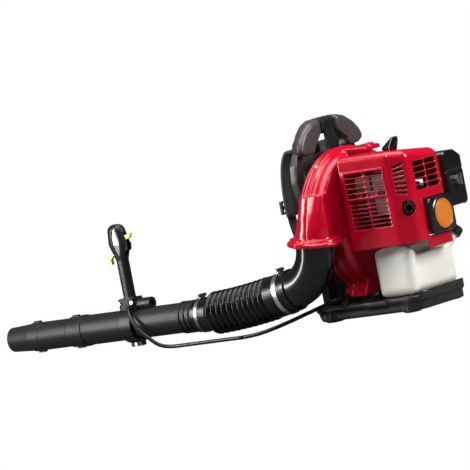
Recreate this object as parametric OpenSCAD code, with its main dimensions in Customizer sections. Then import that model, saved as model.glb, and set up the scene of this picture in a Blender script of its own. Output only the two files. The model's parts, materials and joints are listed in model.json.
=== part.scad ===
// Backpack leaf blower: a two-stroke engine drives a centrifugal fan in a red
// volute, and the air leaves through an elbow, a bellows and a plastic tube.
// +Z is up, +Y is the wearer's forward direction and the way the tube points.
// The origin is the centre of the base's sole on the ground. Millimetres.

/* [Base] */
// Front edge of the base, in front of the origin
base_front = 170; // [162:2:176]
// Width of the base
base_w = 200; // [194:2:212]
// Height of the base's bead above the ground
base_h = 38; // [36:1:42]
// Corner radius of the base in plan
base_corner_r = 36; // [30:1:42]
// Wall of the moulded base
base_wall = 4; // [3:0.5:5]

/* [Backrest] */
// Height of the backrest's top above the ground
back_h = 461; // [455:1:470]
// Half width of the backrest at the hips
back_half_w = 132; // [126:1:138]
// Thickness of the backrest's panel
back_wall = 5; // [4:0.5:6]
// Depth of the domed head that carries the handle
head_depth = 42; // [38:1:46]
// Width of the finger gap under the carry handle
grip_gap_w = 128; // [120:2:136]
// Thickness of the back pad
pad_t = 20; // [16:1:26]
// Width of a shoulder strap
strap_w = 50; // [44:1:56]
// Thickness of a shoulder strap
strap_t = 11; // [8:1:13]

/* [Fan case] */
// Height of the crank and fan axis above the ground
crank_z = 205; // [203:1:208]
// Radius of the volute's first full quarter, at the bottom
volute_r = 150; // [148:1:152]
// Growth of the volute's radius from one quarter to the next
volute_step = 19; // [18:0.5:20]
// Rear face of the fan case
case_y0 = 20; // [18:1:21]
// Face where the two halves of the fan case meet
case_split = 58; // [56:1:60]
// Front face of the fan case
case_y1 = 86; // [85:1:90]
// Wall of the fan case
case_wall = 3; // [2.5:0.25:3.5]
// Rounding of the fan case's edges
case_edge_r = 14; // [10:1:16]
// Radius of the air inlet in the front half
inlet_r = 66; // [60:1:70]
// Radius of the impeller
impeller_r = 106; // [98:1:108]
// Width of the impeller
impeller_w = 42; // [36:1:42]
// Number of impeller blades
blade_count = 12; // [8:1:14]

/* [Outlet] */
// Distance of the outlet from the machine's middle plane
outlet_x = 168; // [167:1:172]
// Height of the outlet flange
outlet_z = 190; // [186:1:192]
// Forward tilt of the outlet, in degrees
outlet_tilt = 8; // [5:1:10]
// Radius of the outlet flange
flange_r = 64; // [62:1:66]
// Thickness of the outlet flange
flange_t = 9; // [8:1:10]
// Outer radius of the elbow
elbow_r = 45; // [43:1:46]
// Radius of the elbow's bend at its centre line
elbow_bend_r = 100; // [96:1:104]
// Sweep of the elbow, in degrees
elbow_sweep = 70; // [66:1:73]
// Straight end of the elbow that carries the bellows
elbow_end_l = 30; // [28:1:36]
// Wall of the elbow and the tubes
tube_wall = 2.5; // [2:0.25:3]

/* [Tube] */
// Length of the bellows along its middle line
bellows_l = 276; // [268:2:286]
// Radius of the bellows over its rings
bellows_r = 51; // [49:0.5:52]
// Number of rings on the bellows
ring_count = 11; // [9:1:12]
// Outer radius of the swivel pipe
swivel_r = 35; // [34:0.5:36]
// Length of the swivel pipe beyond the bellows
swivel_l = 388; // [370:2:400]
// Length of the straight pipe
straight_l = 116; // [106:2:130]
// Length of the nozzle
nozzle_l = 69; // [60:1:80]
// Inner radius of the nozzle's mouth
mouth_r = 26; // [25:0.5:28]

/* [Handle] */
// Distance of the handle from the front end of the bellows
handle_run = 214; // [204:1:222]
// Height of the handle's top above the tube's axis
handle_h = 235; // [228:1:242]
// Depth of the handle's stem along the tube
stem_d = 30; // [29:1:32]
// Width of the handle's stem across the tube
stem_w = 24; // [24:1:27]
// Width of the handle's head across the tube
handle_t = 34; // [33:1:37]
// Thickness of the trigger and the cruise lever
lever_t = 10; // [8:1:11]

/* [Engine] */
// Radius of the crankshaft in its bearings
shaft_r = 7.5; // [7:0.25:8]
// Running clearance of the shafts, on the radius
shaft_gap = 0.05; // [0.03:0.01:0.08]
// Radius of the crankcase
crankcase_r = 44; // [42:1:46]
// Width of the cylinder's fins
fin_w = 76; // [72:1:78]
// Number of cylinder fins
fin_count = 11; // [8:1:12]
// Distance of the engine cover's side from the middle plane
cover_side = 117; // [116:1:120]
// Height of the engine cover above the ground
cover_h = 370; // [367:1:370]
// Wall of the engine cover
cover_wall = 3; // [2.5:0.25:3.5]
// Width of a bar between two grille slots
grille_bar = 3; // [2.5:0.25:3.5]

/* [Starter] */
// Rear face of the starter housing, behind the origin
starter_rear = 176; // [174:1:178]
// Radius of the disc on the starter housing
disc_r = 33.5; // [31:0.5:34]
// Radius of the starter pulley's groove
pulley_r = 26; // [24:0.5:27]

/* [Air cleaner] */
// Width of the air cleaner
filter_w = 68; // [64:1:70]
// Height of the air cleaner
filter_h = 126; // [120:1:128]
// Depth of the air cleaner's cover
filter_cover_d = 36; // [32:1:38]

/* [Fuel tank] */
// Length of the tank along the machine
tank_l = 106; // [100:1:108]
// Width of the tank
tank_w = 181; // [176:1:182]
// Height of the tank's top above the ground
tank_h = 150; // [146:1:151]
// Wall of the tank
tank_wall = 3; // [2:0.25:4]
// Radius of the fuel cap
cap_r = 17; // [16:0.5:18]

/* [Hidden] */
$fn = 64;

red = "#c4101c";
black = "#1a1a1c";
dark_grey = "#37373b";
light_grey = "#8c8c90";
steel = "#b9bcc0";
alloy = "#9a9da1";
tank_white = "#e8e6de";
yellow = "#e8b010";
orange = "#f08a1c";
rubber = "#111113";

fit = 0.3;                    // gap between pieces that are assembled by hand
eps = 0.01;

// Base
base_rear = -142;
base_lift = 3;                 // height of the body above the ground between feet
bead_h = 13;
bead_out = 5;
deck_z = base_h - 5;
rim_w = 20;
deck_t = 5;
foot_r = 19;
sole_w = 70;
sole_l = 190;
foot_x = base_w / 2 - foot_r - 1;
foot_y = [base_rear + 42, base_front - 52];
front_rim = 62;               // depth of the rim that carries the backrest
rear_beam_l = 12;
rear_beam_h = 8;

// Backrest, seen from the front: half widths at heights
back_y = 112;                 // rear edge of the backrest's rim
back_rim_d = 15;
back_front = back_y + back_rim_d + back_wall;
head_y = back_front - head_depth;
head_z = back_h - 76;
gap_z0 = head_z + 2;
gap_h = 37.5;

// Volute, as four quarter turns about the corners of a small square
half_step = volute_step / 2;
volute_arcs = [
  [half_step, crank_z - half_step, volute_r - volute_step, 180],
  [half_step, crank_z + half_step, volute_r, 270],
  [-half_step, crank_z + half_step, volute_r + volute_step, 0],
  [-half_step, crank_z - half_step, volute_r + 2 * volute_step, 90]];
volute_top = crank_z + half_step + volute_r + volute_step;
volute_left = half_step + volute_r + 2 * volute_step;
volute_bottom = crank_z + half_step - volute_r;
tongue_x = volute_r - volute_step - half_step;
lip_out = 6;
lip_t = 5;
mount_r = 14;
mount_x = 58;
mount_y = [case_y0 + 18, case_y1 - 16];
mount_h = 16;
case_foot_z = deck_z + mount_h;
bridge_z = cover_h + 1;
bridge_y = -18;
top_mount_x = 70;
top_mount_z = crank_z + 125;

// Elbow and bellows, in the plane of the tube
outlet_y = (case_y0 + case_y1) / 2 + 16;
elbow_start = 12;
elbow_angle = outlet_tilt + elbow_sweep;
bend_y = outlet_y + elbow_start * sin(outlet_tilt) + elbow_bend_r * cos(outlet_tilt);
bend_z = outlet_z - elbow_start * cos(outlet_tilt) + elbow_bend_r * sin(outlet_tilt);
cuff_overlap = 24;
hose_lead = elbow_end_l - cuff_overlap;
hose_y = bend_y - elbow_bend_r * cos(elbow_angle) + hose_lead * sin(elbow_angle);
hose_z = bend_z - elbow_bend_r * sin(elbow_angle) - hose_lead * cos(elbow_angle);
hose_dip = 90 - elbow_angle;  // how far the bellows starts below level, in degrees
hose_r = bellows_l / (hose_dip * PI / 180);
tube_x = -outlet_x;
tube_y = hose_y + hose_r * sin(hose_dip) - cuff_overlap;
tube_z = hose_z - hose_r * (1 - cos(hose_dip));
rear_cuff_r = elbow_r + 4;
front_cuff_r = swivel_r + 4;

// Pipes
straight_y = tube_y + swivel_l;
nozzle_y = straight_y + straight_l;
straight_r = swivel_r - 2;
nozzle_r = straight_r - 2;
spigot_l = 24;
turn_gap = 0.3;

// Handle
handle_y = tube_y + handle_run;
collar_z = swivel_r + 7;
bracket_w = 32;
grip_z = collar_z + 20;
trigger_pin_z = handle_h - 64;
trigger_pin_y = 8;
lever_pin_z = handle_h - 36;
lever_pin_y = -10;
pin_r = 2.5;
pin_l = 22;
insert_x = -12.5;
slot_t = lever_t + 1.2;

// Engine
cyl_y = -70;
crankcase_l = 76;
deck_top = crank_z + crankcase_r + 1;
fin_t = 2.4;
fin_pitch = 8.4;
cyl_top = deck_top + 10 + fin_count * fin_pitch;
cover_x1 = 50;
cover_rear = 165;
chamfer_x = 32;
chamfer_y = 42;
cover_foot = 156;
skirt_foot = 136;
wheel_y = -113;
wheel_t = 15;
wheel_r = 42;
starter_x0 = -51;
starter_x1 = 45;
starter_z0 = crank_z - 41;
starter_z1 = crank_z + 42;
starter_front = 136;
pulley_t = 10;
pulley_y = -(starter_rear - 22);
rope_r = 2;
rope_z = crank_z - pulley_r - rope_r;
grip_x = starter_x1 + 5;

// Air cleaner and carburettor
filter_x = cover_x1 + 6;
filter_z = 212;
filter_y = -96;
filter_base_t = 10;
element_t = 22;
cover_y = filter_y - filter_base_t - element_t;
knob_x = filter_x + filter_w / 2;
knob_z = filter_z + filter_h * 0.45;
carb_x0 = 44;
carb_z = 252;

// Fuel tank
tank_x0 = -95;
tank_y1 = -23;
tank_r = 22;
notch_z = 128;
cap_tilt = [18, 42, 0];
cap_at = [tank_x0 + tank_w - 3.3, tank_y1 - tank_l + 12.6, tank_h - 15.4];
cap_h = 20;
cap_lift = 18;                // height of the cap's skirt above the neck's root

// Throttle cable: from the handle, along the ground, to the clip on the base
cable_r = 4.5;
cable_join = 12;              // index of the point where the two lengths meet
cable_route = [
  [-188.3, 607, 105], [-192, 607, 105], [-197, 607, 105], [-208, 600, 96], [-215, 588, 76], [-216, 572, 52],
  [-212, 553, 32], [-209, 531, 14], [-206, 502, 6], [-205, 455, 5], [-204, 400, 5],
  [-203, 345, 5], [-203, 295, 5], [-201, 250, 8], [-195, 210, 15], [-183, 172, 24],
  [-165, 142, 33], [-147, 116, 41], [-132, 94, 48], [-119, 78, 53], [-108, 71, 54],
  [-100, 71, 54], [-97, 71, 54]];

// ---- helpers ----

// A rod along Y from y0 to y1, about the point x, z
module rod_y(y0, y1, r, x = 0, z = 0)
  translate([x, y0, z]) rotate([-90, 0, 0]) cylinder(h = y1 - y0, r = r);

// A rod along X
module rod_x(x0, x1, r, y = 0, z = 0)
  translate([x0, y, z]) rotate([0, 90, 0]) cylinder(h = x1 - x0, r = r);

// A box given by its two corners
module box(a, b)
  translate(a) cube(b - a);

// Rectangle with round corners, centred
module round_rect(w, l, r) {
  square([w - 2 * r, l], center = true);
  square([w, l - 2 * r], center = true);
  for (sx = [-1, 1], sy = [-1, 1])
    translate([sx * (w / 2 - r), sy * (l / 2 - r)]) circle(r);
}

// Upright block with round corners in plan
module round_block(a, b, r)
  translate([(a.x + b.x) / 2, (a.y + b.y) / 2, a.z])
    linear_extrude(b.z - a.z) round_rect(b.x - a.x, b.y - a.y, r);

// A profile in X and Z, pushed along Y from y0 to y1
module slab_xz(y0, y1)
  translate([0, y1, 0]) rotate([90, 0, 0]) linear_extrude(y1 - y0) children();

// A profile in Y and Z, pushed along X from x0 to x1
module slab_yz(x0, x1)
  translate([x0, 0, 0]) rotate([90, 0, 90]) linear_extrude(x1 - x0) children();

// Point on a cubic curve through four control points
function curve(p, t) =
  pow(1 - t, 3) * p[0] + 3 * t * pow(1 - t, 2) * p[1] + 3 * t * t * (1 - t) * p[2] + pow(t, 3) * p[3];

function unit(v) = v / norm(v);

// Direction of a path at point i, from its neighbours
function heading(pts, i) = unit(pts[min(i + 1, len(pts) - 1)] - pts[max(i - 1, 0)]);

// Flat band of a given thickness along a path in a plane
function band(pts, t) = concat(
  [for (i = [0:len(pts) - 1]) let (d = heading(pts, i)) pts[i] + t / 2 * [-d.y, d.x]],
  [for (i = [len(pts) - 1:-1:0]) let (d = heading(pts, i)) pts[i] - t / 2 * [-d.y, d.x]]);

// Tube wall of a path: rings of points, joined into a closed skin with flat ends
function ring_faces(rings, sides) = concat(
  [[for (j = [0:sides - 1]) j]],
  [for (i = [0:rings - 2], j = [0:sides - 1]) let (a = i * sides + j, b = i * sides + (j + 1) % sides)
    [a, a + sides, b + sides, b]],
  [[for (j = [sides - 1:-1:0]) (rings - 1) * sides + j]]);

// Round tube along a path, or along its points i0 to i1
module sweep(pts, r, sides, i0 = 0, i1 = -1) {
  last = i1 < 0 ? len(pts) - 1 : i1;
  points = [for (i = [i0:last])
    let (d = heading(pts, i), u = unit(cross(d, abs(d.z) > 0.9 ? [1, 0, 0] : [0, 0, 1])), v = cross(d, u))
    for (j = [0:sides - 1]) pts[i] + r * (cos(360 * j / sides) * u + sin(360 * j / sides) * v)];
  polyhedron(points, ring_faces(last - i0 + 1, sides), convexity = 10);
}

// Smooth path through hand-placed points: three steps to a span
function smooth(p) = concat([for (i = [0:len(p) - 2], k = [0:2]) let (
    t = k / 3, a = p[max(i - 1, 0)], b = p[i], c = p[i + 1], d = p[min(i + 2, len(p) - 1)])
    (2 * b + t * (c - a) + t * t * (2 * a - 5 * b + 4 * c - d)
      + t * t * t * (3 * b - a - 3 * c + d)) / 2], [p[len(p) - 1]]);

// ---- base and backrest ----

// Plan of the base, drawn in by an inset
module base_plan(inset) translate([0, (base_front + base_rear) / 2])
  round_rect(base_w - 2 * inset, base_front - base_rear - 2 * inset, base_corner_r - inset);

module base_frame() color(black) difference() {
  union() {
    intersection() {
      translate([0, 0, base_lift]) linear_extrude(deck_z - base_lift) base_plan(bead_out);
      // underside that rises towards the front
      slab_yz(-base_w, base_w) polygon([[base_rear, 0], [base_front - 28, 0], [base_front, base_h - 8],
        [base_front, base_h], [base_rear, base_h]]);
    }
    translate([0, 0, base_h - bead_h]) linear_extrude(bead_h) base_plan(0);
    for (sx = [-1, 1], y = foot_y) translate([sx * foot_x, y, 0]) cylinder(h = deck_z, r = foot_r);
    linear_extrude(deck_z) round_rect(sole_w, sole_l, 12);
    intersection() {
      box([-base_w / 2, base_rear, base_h - eps], [base_w / 2, base_rear + rear_beam_l, base_h + rear_beam_h]);
      translate([0, 0, base_h - 1]) linear_extrude(rear_beam_h + 1) base_plan(0);
    }
    // raised pads on the sides of the bead
    for (sx = [-1, 1]) box([sx * base_w / 2 - 2, -48, base_h - bead_h - 3], [sx * base_w / 2 + 2, 8, base_h]);
  }
  // sunken deck inside the bead
  round_block([rim_w - base_w / 2, base_rear + rim_w, deck_z],
    [base_w / 2 - rim_w, base_front - front_rim, 2 * base_h], base_corner_r - rim_w / 2);
  // hollow underside, with ribs left between the pockets
  for (sx = [-1, 1], sy = [-1, 1])
    round_block([sx * (base_w + sole_w) / 4 - (base_w - sole_w) / 4 + 12, sy * 50 - 34, -eps],
      [sx * (base_w + sole_w) / 4 + (base_w - sole_w) / 4 - 12, sy * 50 + 34, deck_z - deck_t], 6);
  round_block([-sole_w / 2 + base_wall * 2, -sole_l / 2 + 10, 3 * base_wall],
    [sole_w / 2 - base_wall * 2, sole_l / 2 - 10, deck_z - deck_t], 8);
}

// Outline of the backrest: half widths at heights, mirrored
function back_z(part) = base_h + part * (back_h - base_h);
back_side = [[95, base_h], [97, back_z(0.19)], [102, back_z(0.38)], [112, back_z(0.53)],
  [back_half_w - 6, back_z(0.62)], [back_half_w, back_z(0.69)], [back_half_w - 6, back_z(0.775)],
  [back_half_w - 26, back_z(0.845)], [back_half_w - 34, back_z(0.9)]];
function back_outline(inset) = concat(
  [for (p = back_side) [p.x - inset, p.y]],
  [for (i = [len(back_side) - 1:-1:0]) [-back_side[i].x + inset, back_side[i].y]]);

module backrest() color(black) difference() {
  union() {
    difference() {
      slab_xz(back_y, back_front) polygon(back_outline(0));
      slab_xz(back_y - 1, back_front - back_wall) polygon(back_outline(back_wall));
    }
    // stiffening ribs behind the panel
    for (sx = [-1, 1]) box([sx * 40 - 2, back_y + 3, base_h], [sx * 40 + 2, back_front, top_mount_z - 40]);
    box([-95, back_y + 3, back_z(0.26)], [95, back_front, back_z(0.27)]);
    for (sx = [-1, 1]) rod_y(back_y, back_front, mount_r + 2, sx * top_mount_x, top_mount_z);
    backrest_head();
  }
  // finger gap under the carry handle, wider behind its rear lip
  finger_gap(0, head_y - 30, back_front + 30);
  finger_gap(14, head_y + 9, back_front + 30);
}

// Gap with slanting upper corners, grown sideways and downwards
module finger_gap(grow, y0, y1) slab_xz(y0, y1) polygon([[-grip_gap_w / 2 - grow, gap_z0 - grow / 4],
  [grip_gap_w / 2 + grow, gap_z0 - grow / 4], [grip_gap_w / 2 + grow, gap_z0 + 14],
  [grip_w / 2 + 3 + grow / 2, gap_z0 + gap_h], [-grip_w / 2 - 3 - grow / 2, gap_z0 + gap_h],
  [-grip_gap_w / 2 - grow, gap_z0 + 14]]);

// Domed head of the backrest: one half's rounding centres, from the middle outwards
head_r = 10;
grip_w = 56;                  // width of the sleeve on the carry handle
grip_h = 36;
head_half = [[grip_w / 2 + head_r, -head_r], [64, -16], [92, -32], [110, -50], [115, -62], [105, -67],
  [grip_gap_w / 2 + head_r, -67.4], [grip_w / 2 + head_r + 0.3, -28]];

module backrest_head() {
  for (sx = [-1, 1]) hull() for (p = head_half, front = [0, 1])
    translate([sx * (p.x - front * (p.x - head_half[0].x) / 4),
      front == 1 ? back_front - head_r : head_y + head_r, back_h + p.y]) sphere(head_r, $fn = 24);
  // core of the carry handle, between the two wings
  slab_yz(-grip_w, grip_w) translate([grip_y, back_h - 1 - grip_h / 2])
    round_rect(head_depth - 20, grip_h - 14, 7);
}

grip_y = (head_y + back_front) / 2;

// Ribbed sleeve of the carry handle on its core, with a tongue that hangs behind the fingers
module carry_handle() color(dark_grey) difference() {
  union() {
    slab_yz(fit - grip_w / 2, grip_w / 2 - fit) translate([grip_y, back_h - grip_h / 2])
      round_rect(head_depth - 4, grip_h - 2, 12);
    for (x = [-20:8:20]) slab_yz(x - 1.5, x + 1.5) translate([grip_y, back_h - grip_h / 2])
      round_rect(head_depth - 1, grip_h + 1, 13);
    box([-tongue_w / 2, head_y + 2, back_h - grip_h - tongue_l],
      [tongue_w / 2, head_y + 7, back_h - grip_h / 2]);
  }
  slab_yz(-grip_w, grip_w) translate([grip_y, back_h - 1 - grip_h / 2])
    round_rect(head_depth - 20 + 2 * fit, grip_h - 14 + 2 * fit, 7 + fit);
}

tongue_w = 38;
tongue_l = 34;

module back_pad() color(rubber) {
  round_y_block([-pad_half_w, back_front + fit, base_h + 32],
    [pad_half_w, back_front + fit + pad_t, gap_z0 - 4], 26);
  // neck that runs up over the front of the finger gap
  round_y_block([-neck_half_w, back_front + fit, gap_z0 - 70],
    [neck_half_w, back_front + fit + pad_t, gap_z0 + 26], 16);
}

module round_y_block(a, b, r)
  slab_xz(a.y, b.y) translate([(a.x + b.x) / 2, (a.z + b.z) / 2]) round_rect(b.x - a.x, b.z - a.z, r);

strap_x = 93;
pad_half_w = strap_x - strap_w / 2 - 2;
neck_half_w = pad_half_w - 12;
strap_top = [back_front + strap_t / 2 + fit, back_h - 59];
strap_foot = [back_front + strap_t / 2 + fit, base_h + 46];
strap_path = [for (t = [0:1 / 14:1])
  curve([strap_top, strap_top + [40, -20], strap_foot + [44, 110], strap_foot], t)];

module shoulder_strap(side) color(rubber)
  slab_yz(side * strap_x - strap_w / 2, side * strap_x + strap_w / 2) polygon(band(strap_path, strap_t));
module shoulder_strap_left() shoulder_strap(-1);
module shoulder_strap_right() shoulder_strap(1);

// Ladder buckles on the outer face of the straps
module strap_buckles() color(light_grey) for (side = [-1, 1]) {
  at = strap_path[7];
  difference() {
    translate([side * strap_x, at.x + strap_t / 2 + 3.6, at.y]) cube([strap_w + 8, 6, 30], center = true);
    for (dz = [-7, 7]) translate([side * strap_x, at.x + strap_t / 2 + 3.6, at.y + dz])
      cube([strap_w - 4, 20, 7], center = true);
  }
}

// Rubber mounts that carry the engine and fan on the base and the backrest
module vibration_mounts() color(rubber) {
  for (sx = [-1, 1], y = mount_y) translate([sx * mount_x, y, deck_z]) rotate_extrude()
    polygon([[0, 0], [mount_r, 0], [mount_r, 4], [mount_r - 3, 6], [mount_r - 3, mount_h - 6],
      [mount_r, mount_h - 4], [mount_r, mount_h], [0, mount_h]]);
  for (sx = [-1, 1]) rod_y(case_y1, back_y, mount_r - 2, sx * top_mount_x, top_mount_z);
}

// ---- fan case ----

module volute_section(r, depth, edge_r) {
  square([r - edge_r, depth]);
  translate([0, edge_r]) square([r, depth - 2 * edge_r]);
  for (y = [edge_r, depth - edge_r]) translate([r - edge_r, y]) circle(edge_r);
}

// The volute as a solid, drawn in by an inset; grow changes its radius alone
module volute(inset, y0, y1, edge_r, grow = 0) {
  depth = y1 - y0 - 2 * inset;
  translate([0, y1 - inset, 0]) rotate([90, 0, 0]) {
    for (q = volute_arcs) translate([q[0], q[1], 0]) rotate(q[3])
      rotate_extrude(angle = 90) volute_section(q[2] - inset + grow, depth, edge_r);
    translate([-half_step, crank_z - half_step, 0]) cube([volute_step, volute_step, depth]);
  }
}

// Frame at the outlet flange, its Z along the air's way out
module outlet_frame()
  translate([-outlet_x, outlet_y, outlet_z]) rotate([180 + outlet_tilt, 0, 0]) children();

case_mid = (case_y0 + case_y1) / 2;
case_half = (case_y1 - case_y0) / 2;
duct_r = elbow_r + 6;
// The duct's sections from its shoulder down: middle, half widths, corner radius and height
duct_sections = [
  [-(volute_left + tongue_x) / 2 + 9, case_mid, 30, case_half - 1, 14, crank_z + 94],
  [-(volute_left + tongue_x) / 2 - 1, case_mid + 2, 37, case_half + 3, 22, crank_z + 56],
  [-(volute_left + tongue_x) / 2 - 5, case_mid + 7, 46, 44, 38, crank_z + 20]];

module duct_section(s, inset) for (sx = [-1, 1], sy = [-1, 1])
  translate([s[0] + sx * (s[2] - s[4]), s[1] + sy * (s[3] - s[4]), s[5] - inset])
    cylinder(h = 1, r = s[4] - inset, $fn = 32);

module duct(inset) {
  for (k = [0:len(duct_sections) - 2]) hull() {
    duct_section(duct_sections[k], inset);
    duct_section(duct_sections[k + 1], inset);
  }
  hull() {
    duct_section(duct_sections[len(duct_sections) - 1], inset);
    outlet_frame() translate([0, 0, -4]) cylinder(h = 5, r = duct_r - inset, $fn = 32);
  }
}

module case_solid() {
  volute(0, case_y0, case_y1, case_edge_r);
  duct(0);
  outlet_frame() translate([0, 0, -flange_t + 1]) cylinder(h = flange_t, r = flange_r);
  outlet_frame() translate([0, 0, -flange_t - 6]) cylinder(h = 8, r = flange_r - 6);
  // foot on the rubber mounts
  slab_xz(case_y0 + 2, case_y1 - 2) polygon([[-mount_x - mount_r - 6, case_foot_z],
    [mount_x + mount_r + 6, case_foot_z], [mount_x + mount_r + 6, case_foot_z + 5],
    [mount_x - 2, case_foot_z + 34], [2 - mount_x, case_foot_z + 34], [-mount_x - mount_r - 6, case_foot_z + 5]]);
  // lips of the parting line and of the front rim
  difference() {
    union() {
      volute(0, case_split - lip_t, case_split + lip_t, 1, grow = lip_out);
      volute(0, case_y1 - lip_t - 4, case_y1 - 4, 1, grow = lip_out - 1);
    }
    outlet_frame() translate([0, 0, 1]) cylinder(h = 150, r = elbow_r + 14);
  }
  // block on the flange
  outlet_frame() translate([-flange_r - 3, -14, -flange_t - 2]) cube([16, 30, flange_t + 3]);
}

module case_hollow() {
  volute(case_wall, case_y0, case_y1, case_edge_r - case_wall);
  duct(case_wall);
  outlet_frame() translate([0, 0, -1]) cylinder(h = 20, r = elbow_r - 1);
  outlet_frame() translate([0, 0, -flange_t + 3]) cylinder(h = 20, r = elbow_r + fit / 2);
}

screw_angles = [15, 50, 88, 122, 338, 300];

module fan_case_front() color(red) difference() {
  intersection() {
    case_solid();
    box([-400, case_split, 0], [400, 400, 600]);
  }
  case_hollow();
  rod_y(case_split, case_y1 + 10, inlet_r, 0, crank_z);
}

module fan_case_rear() color(red) difference() {
  union() {
    intersection() {
      case_solid();
      box([-400, -100, 0], [400, case_split, 600]);
    }
    // ridge that runs back over the engine cover
    hull() {
      for (sx = [-1, 1]) {
        translate([sx * 42, case_y0 + 12, bridge_z]) cylinder(h = volute_top - bridge_z, r = 8, $fn = 32);
        translate([sx * 26, bridge_y + 8, bridge_z]) cylinder(h = volute_top - bridge_z - 3, r = 8, $fn = 32);
      }
    }
    translate([0, bridge_y + 6, bridge_z]) cylinder(h = volute_top - bridge_z + 5, r = 8);
  }
  case_hollow();
  rod_y(case_y0 - 5, case_y0 + 20, 30 + fit / 2, 0, crank_z);
}

// Moulded grid over the air inlet
module inlet_guard() color(black) difference() {
  union() {
    rod_y(case_y1, case_y1 + 4, inlet_r + 9, 0, crank_z);
    rod_y(case_y1, case_y1 + 7, 20, 0, crank_z);
  }
  for (k = [0:3]) let (r0 = 21 + k * 12) for (a = [0:60:300])
    translate([0, case_y1 - 1, crank_z]) rotate([-90, 0, 0]) rotate(a + 4)
      rotate_extrude(angle = 52) translate([r0, 0]) square([8, 20]);
}

// Screws round the case's parting line
module case_screws() color(steel) for (a = screw_angles)
  rod_y(case_split + lip_t, case_split + lip_t + 5, 3.5, volute_screw(a).x, volute_screw(a).y);

// Middle of the parting lip at an angle about the crank
function volute_screw(a) = let (
    q = a < 90 ? volute_arcs[2] : a < 180 ? volute_arcs[3] : a < 270 ? volute_arcs[0] : volute_arcs[1])
  [q[0] + (q[2] + 4) * cos(a), q[1] + (q[2] + 4) * sin(a)];

// ---- rotor: impeller, shaft and flywheel ----

impeller_y0 = case_y0 + 14;

module fan_impeller() color(alloy) difference() {
  union() {
    rod_y(impeller_y0, impeller_y0 + 4, impeller_r, 0, crank_z);
    rod_y(impeller_y0, impeller_y0 + impeller_w, 18, 0, crank_z);
    rod_y(impeller_y0, impeller_y0 + 14, 30, 0, crank_z);
    translate([0, impeller_y0 + 3, crank_z]) rotate([-90, 0, 0])
      for (k = [0:blade_count - 1]) rotate(k * 360 / blade_count) impeller_blade();
  }
  rod_y(impeller_y0 - 5, impeller_y0 + 100, shaft_r - 1.5, 0, crank_z);
}

// Backward-curved blade, an arc of a thin ring
module impeller_blade() {
  blade_r = 62;
  intersection() {
    translate([60, -42, 0]) difference() {
      cylinder(h = impeller_w - 3, r = blade_r + 1.2);
      translate([0, 0, -1]) cylinder(h = impeller_w, r = blade_r - 1.2);
    }
    difference() {
      cylinder(h = impeller_w, r = impeller_r - 1);
      translate([0, 0, -1]) cylinder(h = impeller_w + 2, r = 46);
    }
    cube([impeller_r, impeller_r, impeller_w]);
  }
}

module fan_nut() color(steel) difference() {
  union() {
    rod_y(impeller_y0 + impeller_w, impeller_y0 + impeller_w + 2, 12, 0, crank_z);
    translate([0, impeller_y0 + impeller_w + 2, crank_z]) rotate([-90, 0, 0])
      cylinder(h = 7, r = 10, $fn = 6);
  }
  rod_y(0, 200, shaft_r - 1.5, 0, crank_z);
}

crank_front = impeller_y0 + impeller_w + 8;
case_cavity_l = crankcase_l - 16;

module crankshaft() color(steel) {
  rod_y(impeller_y0, crank_front, shaft_r - 1.5, 0, crank_z);
  rod_y(wheel_y - wheel_t, impeller_y0, shaft_r, 0, crank_z);
  for (s = [-1, 1]) rod_y(cyl_y + s * 14 - 5, cyl_y + s * 14 + 5, 27, 0, crank_z);
  rod_y(cyl_y - 12, cyl_y + 12, 8, 0, crank_z + 16);
}

module flywheel() color(alloy) difference() {
  union() {
    rod_y(wheel_y - wheel_t, wheel_y, wheel_r, 0, crank_z);
  }
  rod_y(wheel_y - wheel_t - 1, wheel_y - 6, wheel_r - 4, 0, crank_z);
  rod_y(wheel_y - wheel_t - 1, wheel_y + 1, shaft_r, 0, crank_z);
}

// ---- engine ----

crankcase_y0 = cyl_y - crankcase_l / 2;
crankcase_y1 = cyl_y + crankcase_l / 2;
starter_posts = [[-45, -34], [-45, 17], [39, -34]];

module crankcase() color(alloy) difference() {
  union() {
    rod_y(crankcase_y0, crankcase_y1, crankcase_r, 0, crank_z);
    rod_y(crankcase_y1 - 1, case_y0 + case_wall - fit, 30, 0, crank_z);
    rod_y(case_y0 - 9, case_y0 - eps, 52, 0, crank_z);
    box([-34, crankcase_y0, crank_z], [34, crankcase_y1, deck_top]);
    // posts that carry the starter
    for (p = starter_posts) {
      rod_y(-starter_front, crankcase_y1 - 24, 5, p.x, crank_z + p.y);
      box([min(p.x - 4, 0), crankcase_y1 - 34, crank_z + p.y - 5],
        [max(p.x + 4, 0), crankcase_y1 - 24, crank_z + p.y + 5]);
    }
  }
  rod_y(cyl_y - case_cavity_l / 2, cyl_y + case_cavity_l / 2, crankcase_r - 8, 0, crank_z);
  rod_y(-starter_front - 1, case_y1, shaft_r + shaft_gap, 0, crank_z);
}

module engine_cylinder() color(alloy) difference() {
  union() {
    translate([0, cyl_y, deck_top]) cylinder(h = cyl_top - deck_top, r = 27);
    translate([-31, cyl_y - 31, deck_top]) cube([62, 62, 8]);
    for (k = [0:fin_count - 1]) translate([0, cyl_y, deck_top + 12 + k * fin_pitch])
      linear_extrude(fin_t) round_rect(fin_w - max(0, k - fin_count + 3) * 6, fin_w, 16);
    // exhaust flange towards the muffler, intake flange towards the carburettor
    box([-fin_w / 2 - 4, cyl_y - 18, deck_top + 24], [0, cyl_y + 18, deck_top + 54]);
    box([0, cyl_y - 18, deck_top], [carb_x0, cyl_y + 18, carb_z + 16]);
  }
  rod_x(-80, 0, 9, cyl_y, deck_top + 39);
  rod_x(0, 80, 8, cyl_y, carb_z);
  translate([0, cyl_y, cyl_top - 12]) cylinder(h = 40, r = 5);
}

muffler_x0 = -cover_side + cover_wall + 7;
muffler_x1 = -fin_w / 2 - 4;
muffler_z0 = deck_top - 22;
muffler_z1 = deck_top + 72;
muffler_l = fin_w + 12;
muffler_r = fin_w / 5;
seam_out = 3;

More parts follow.
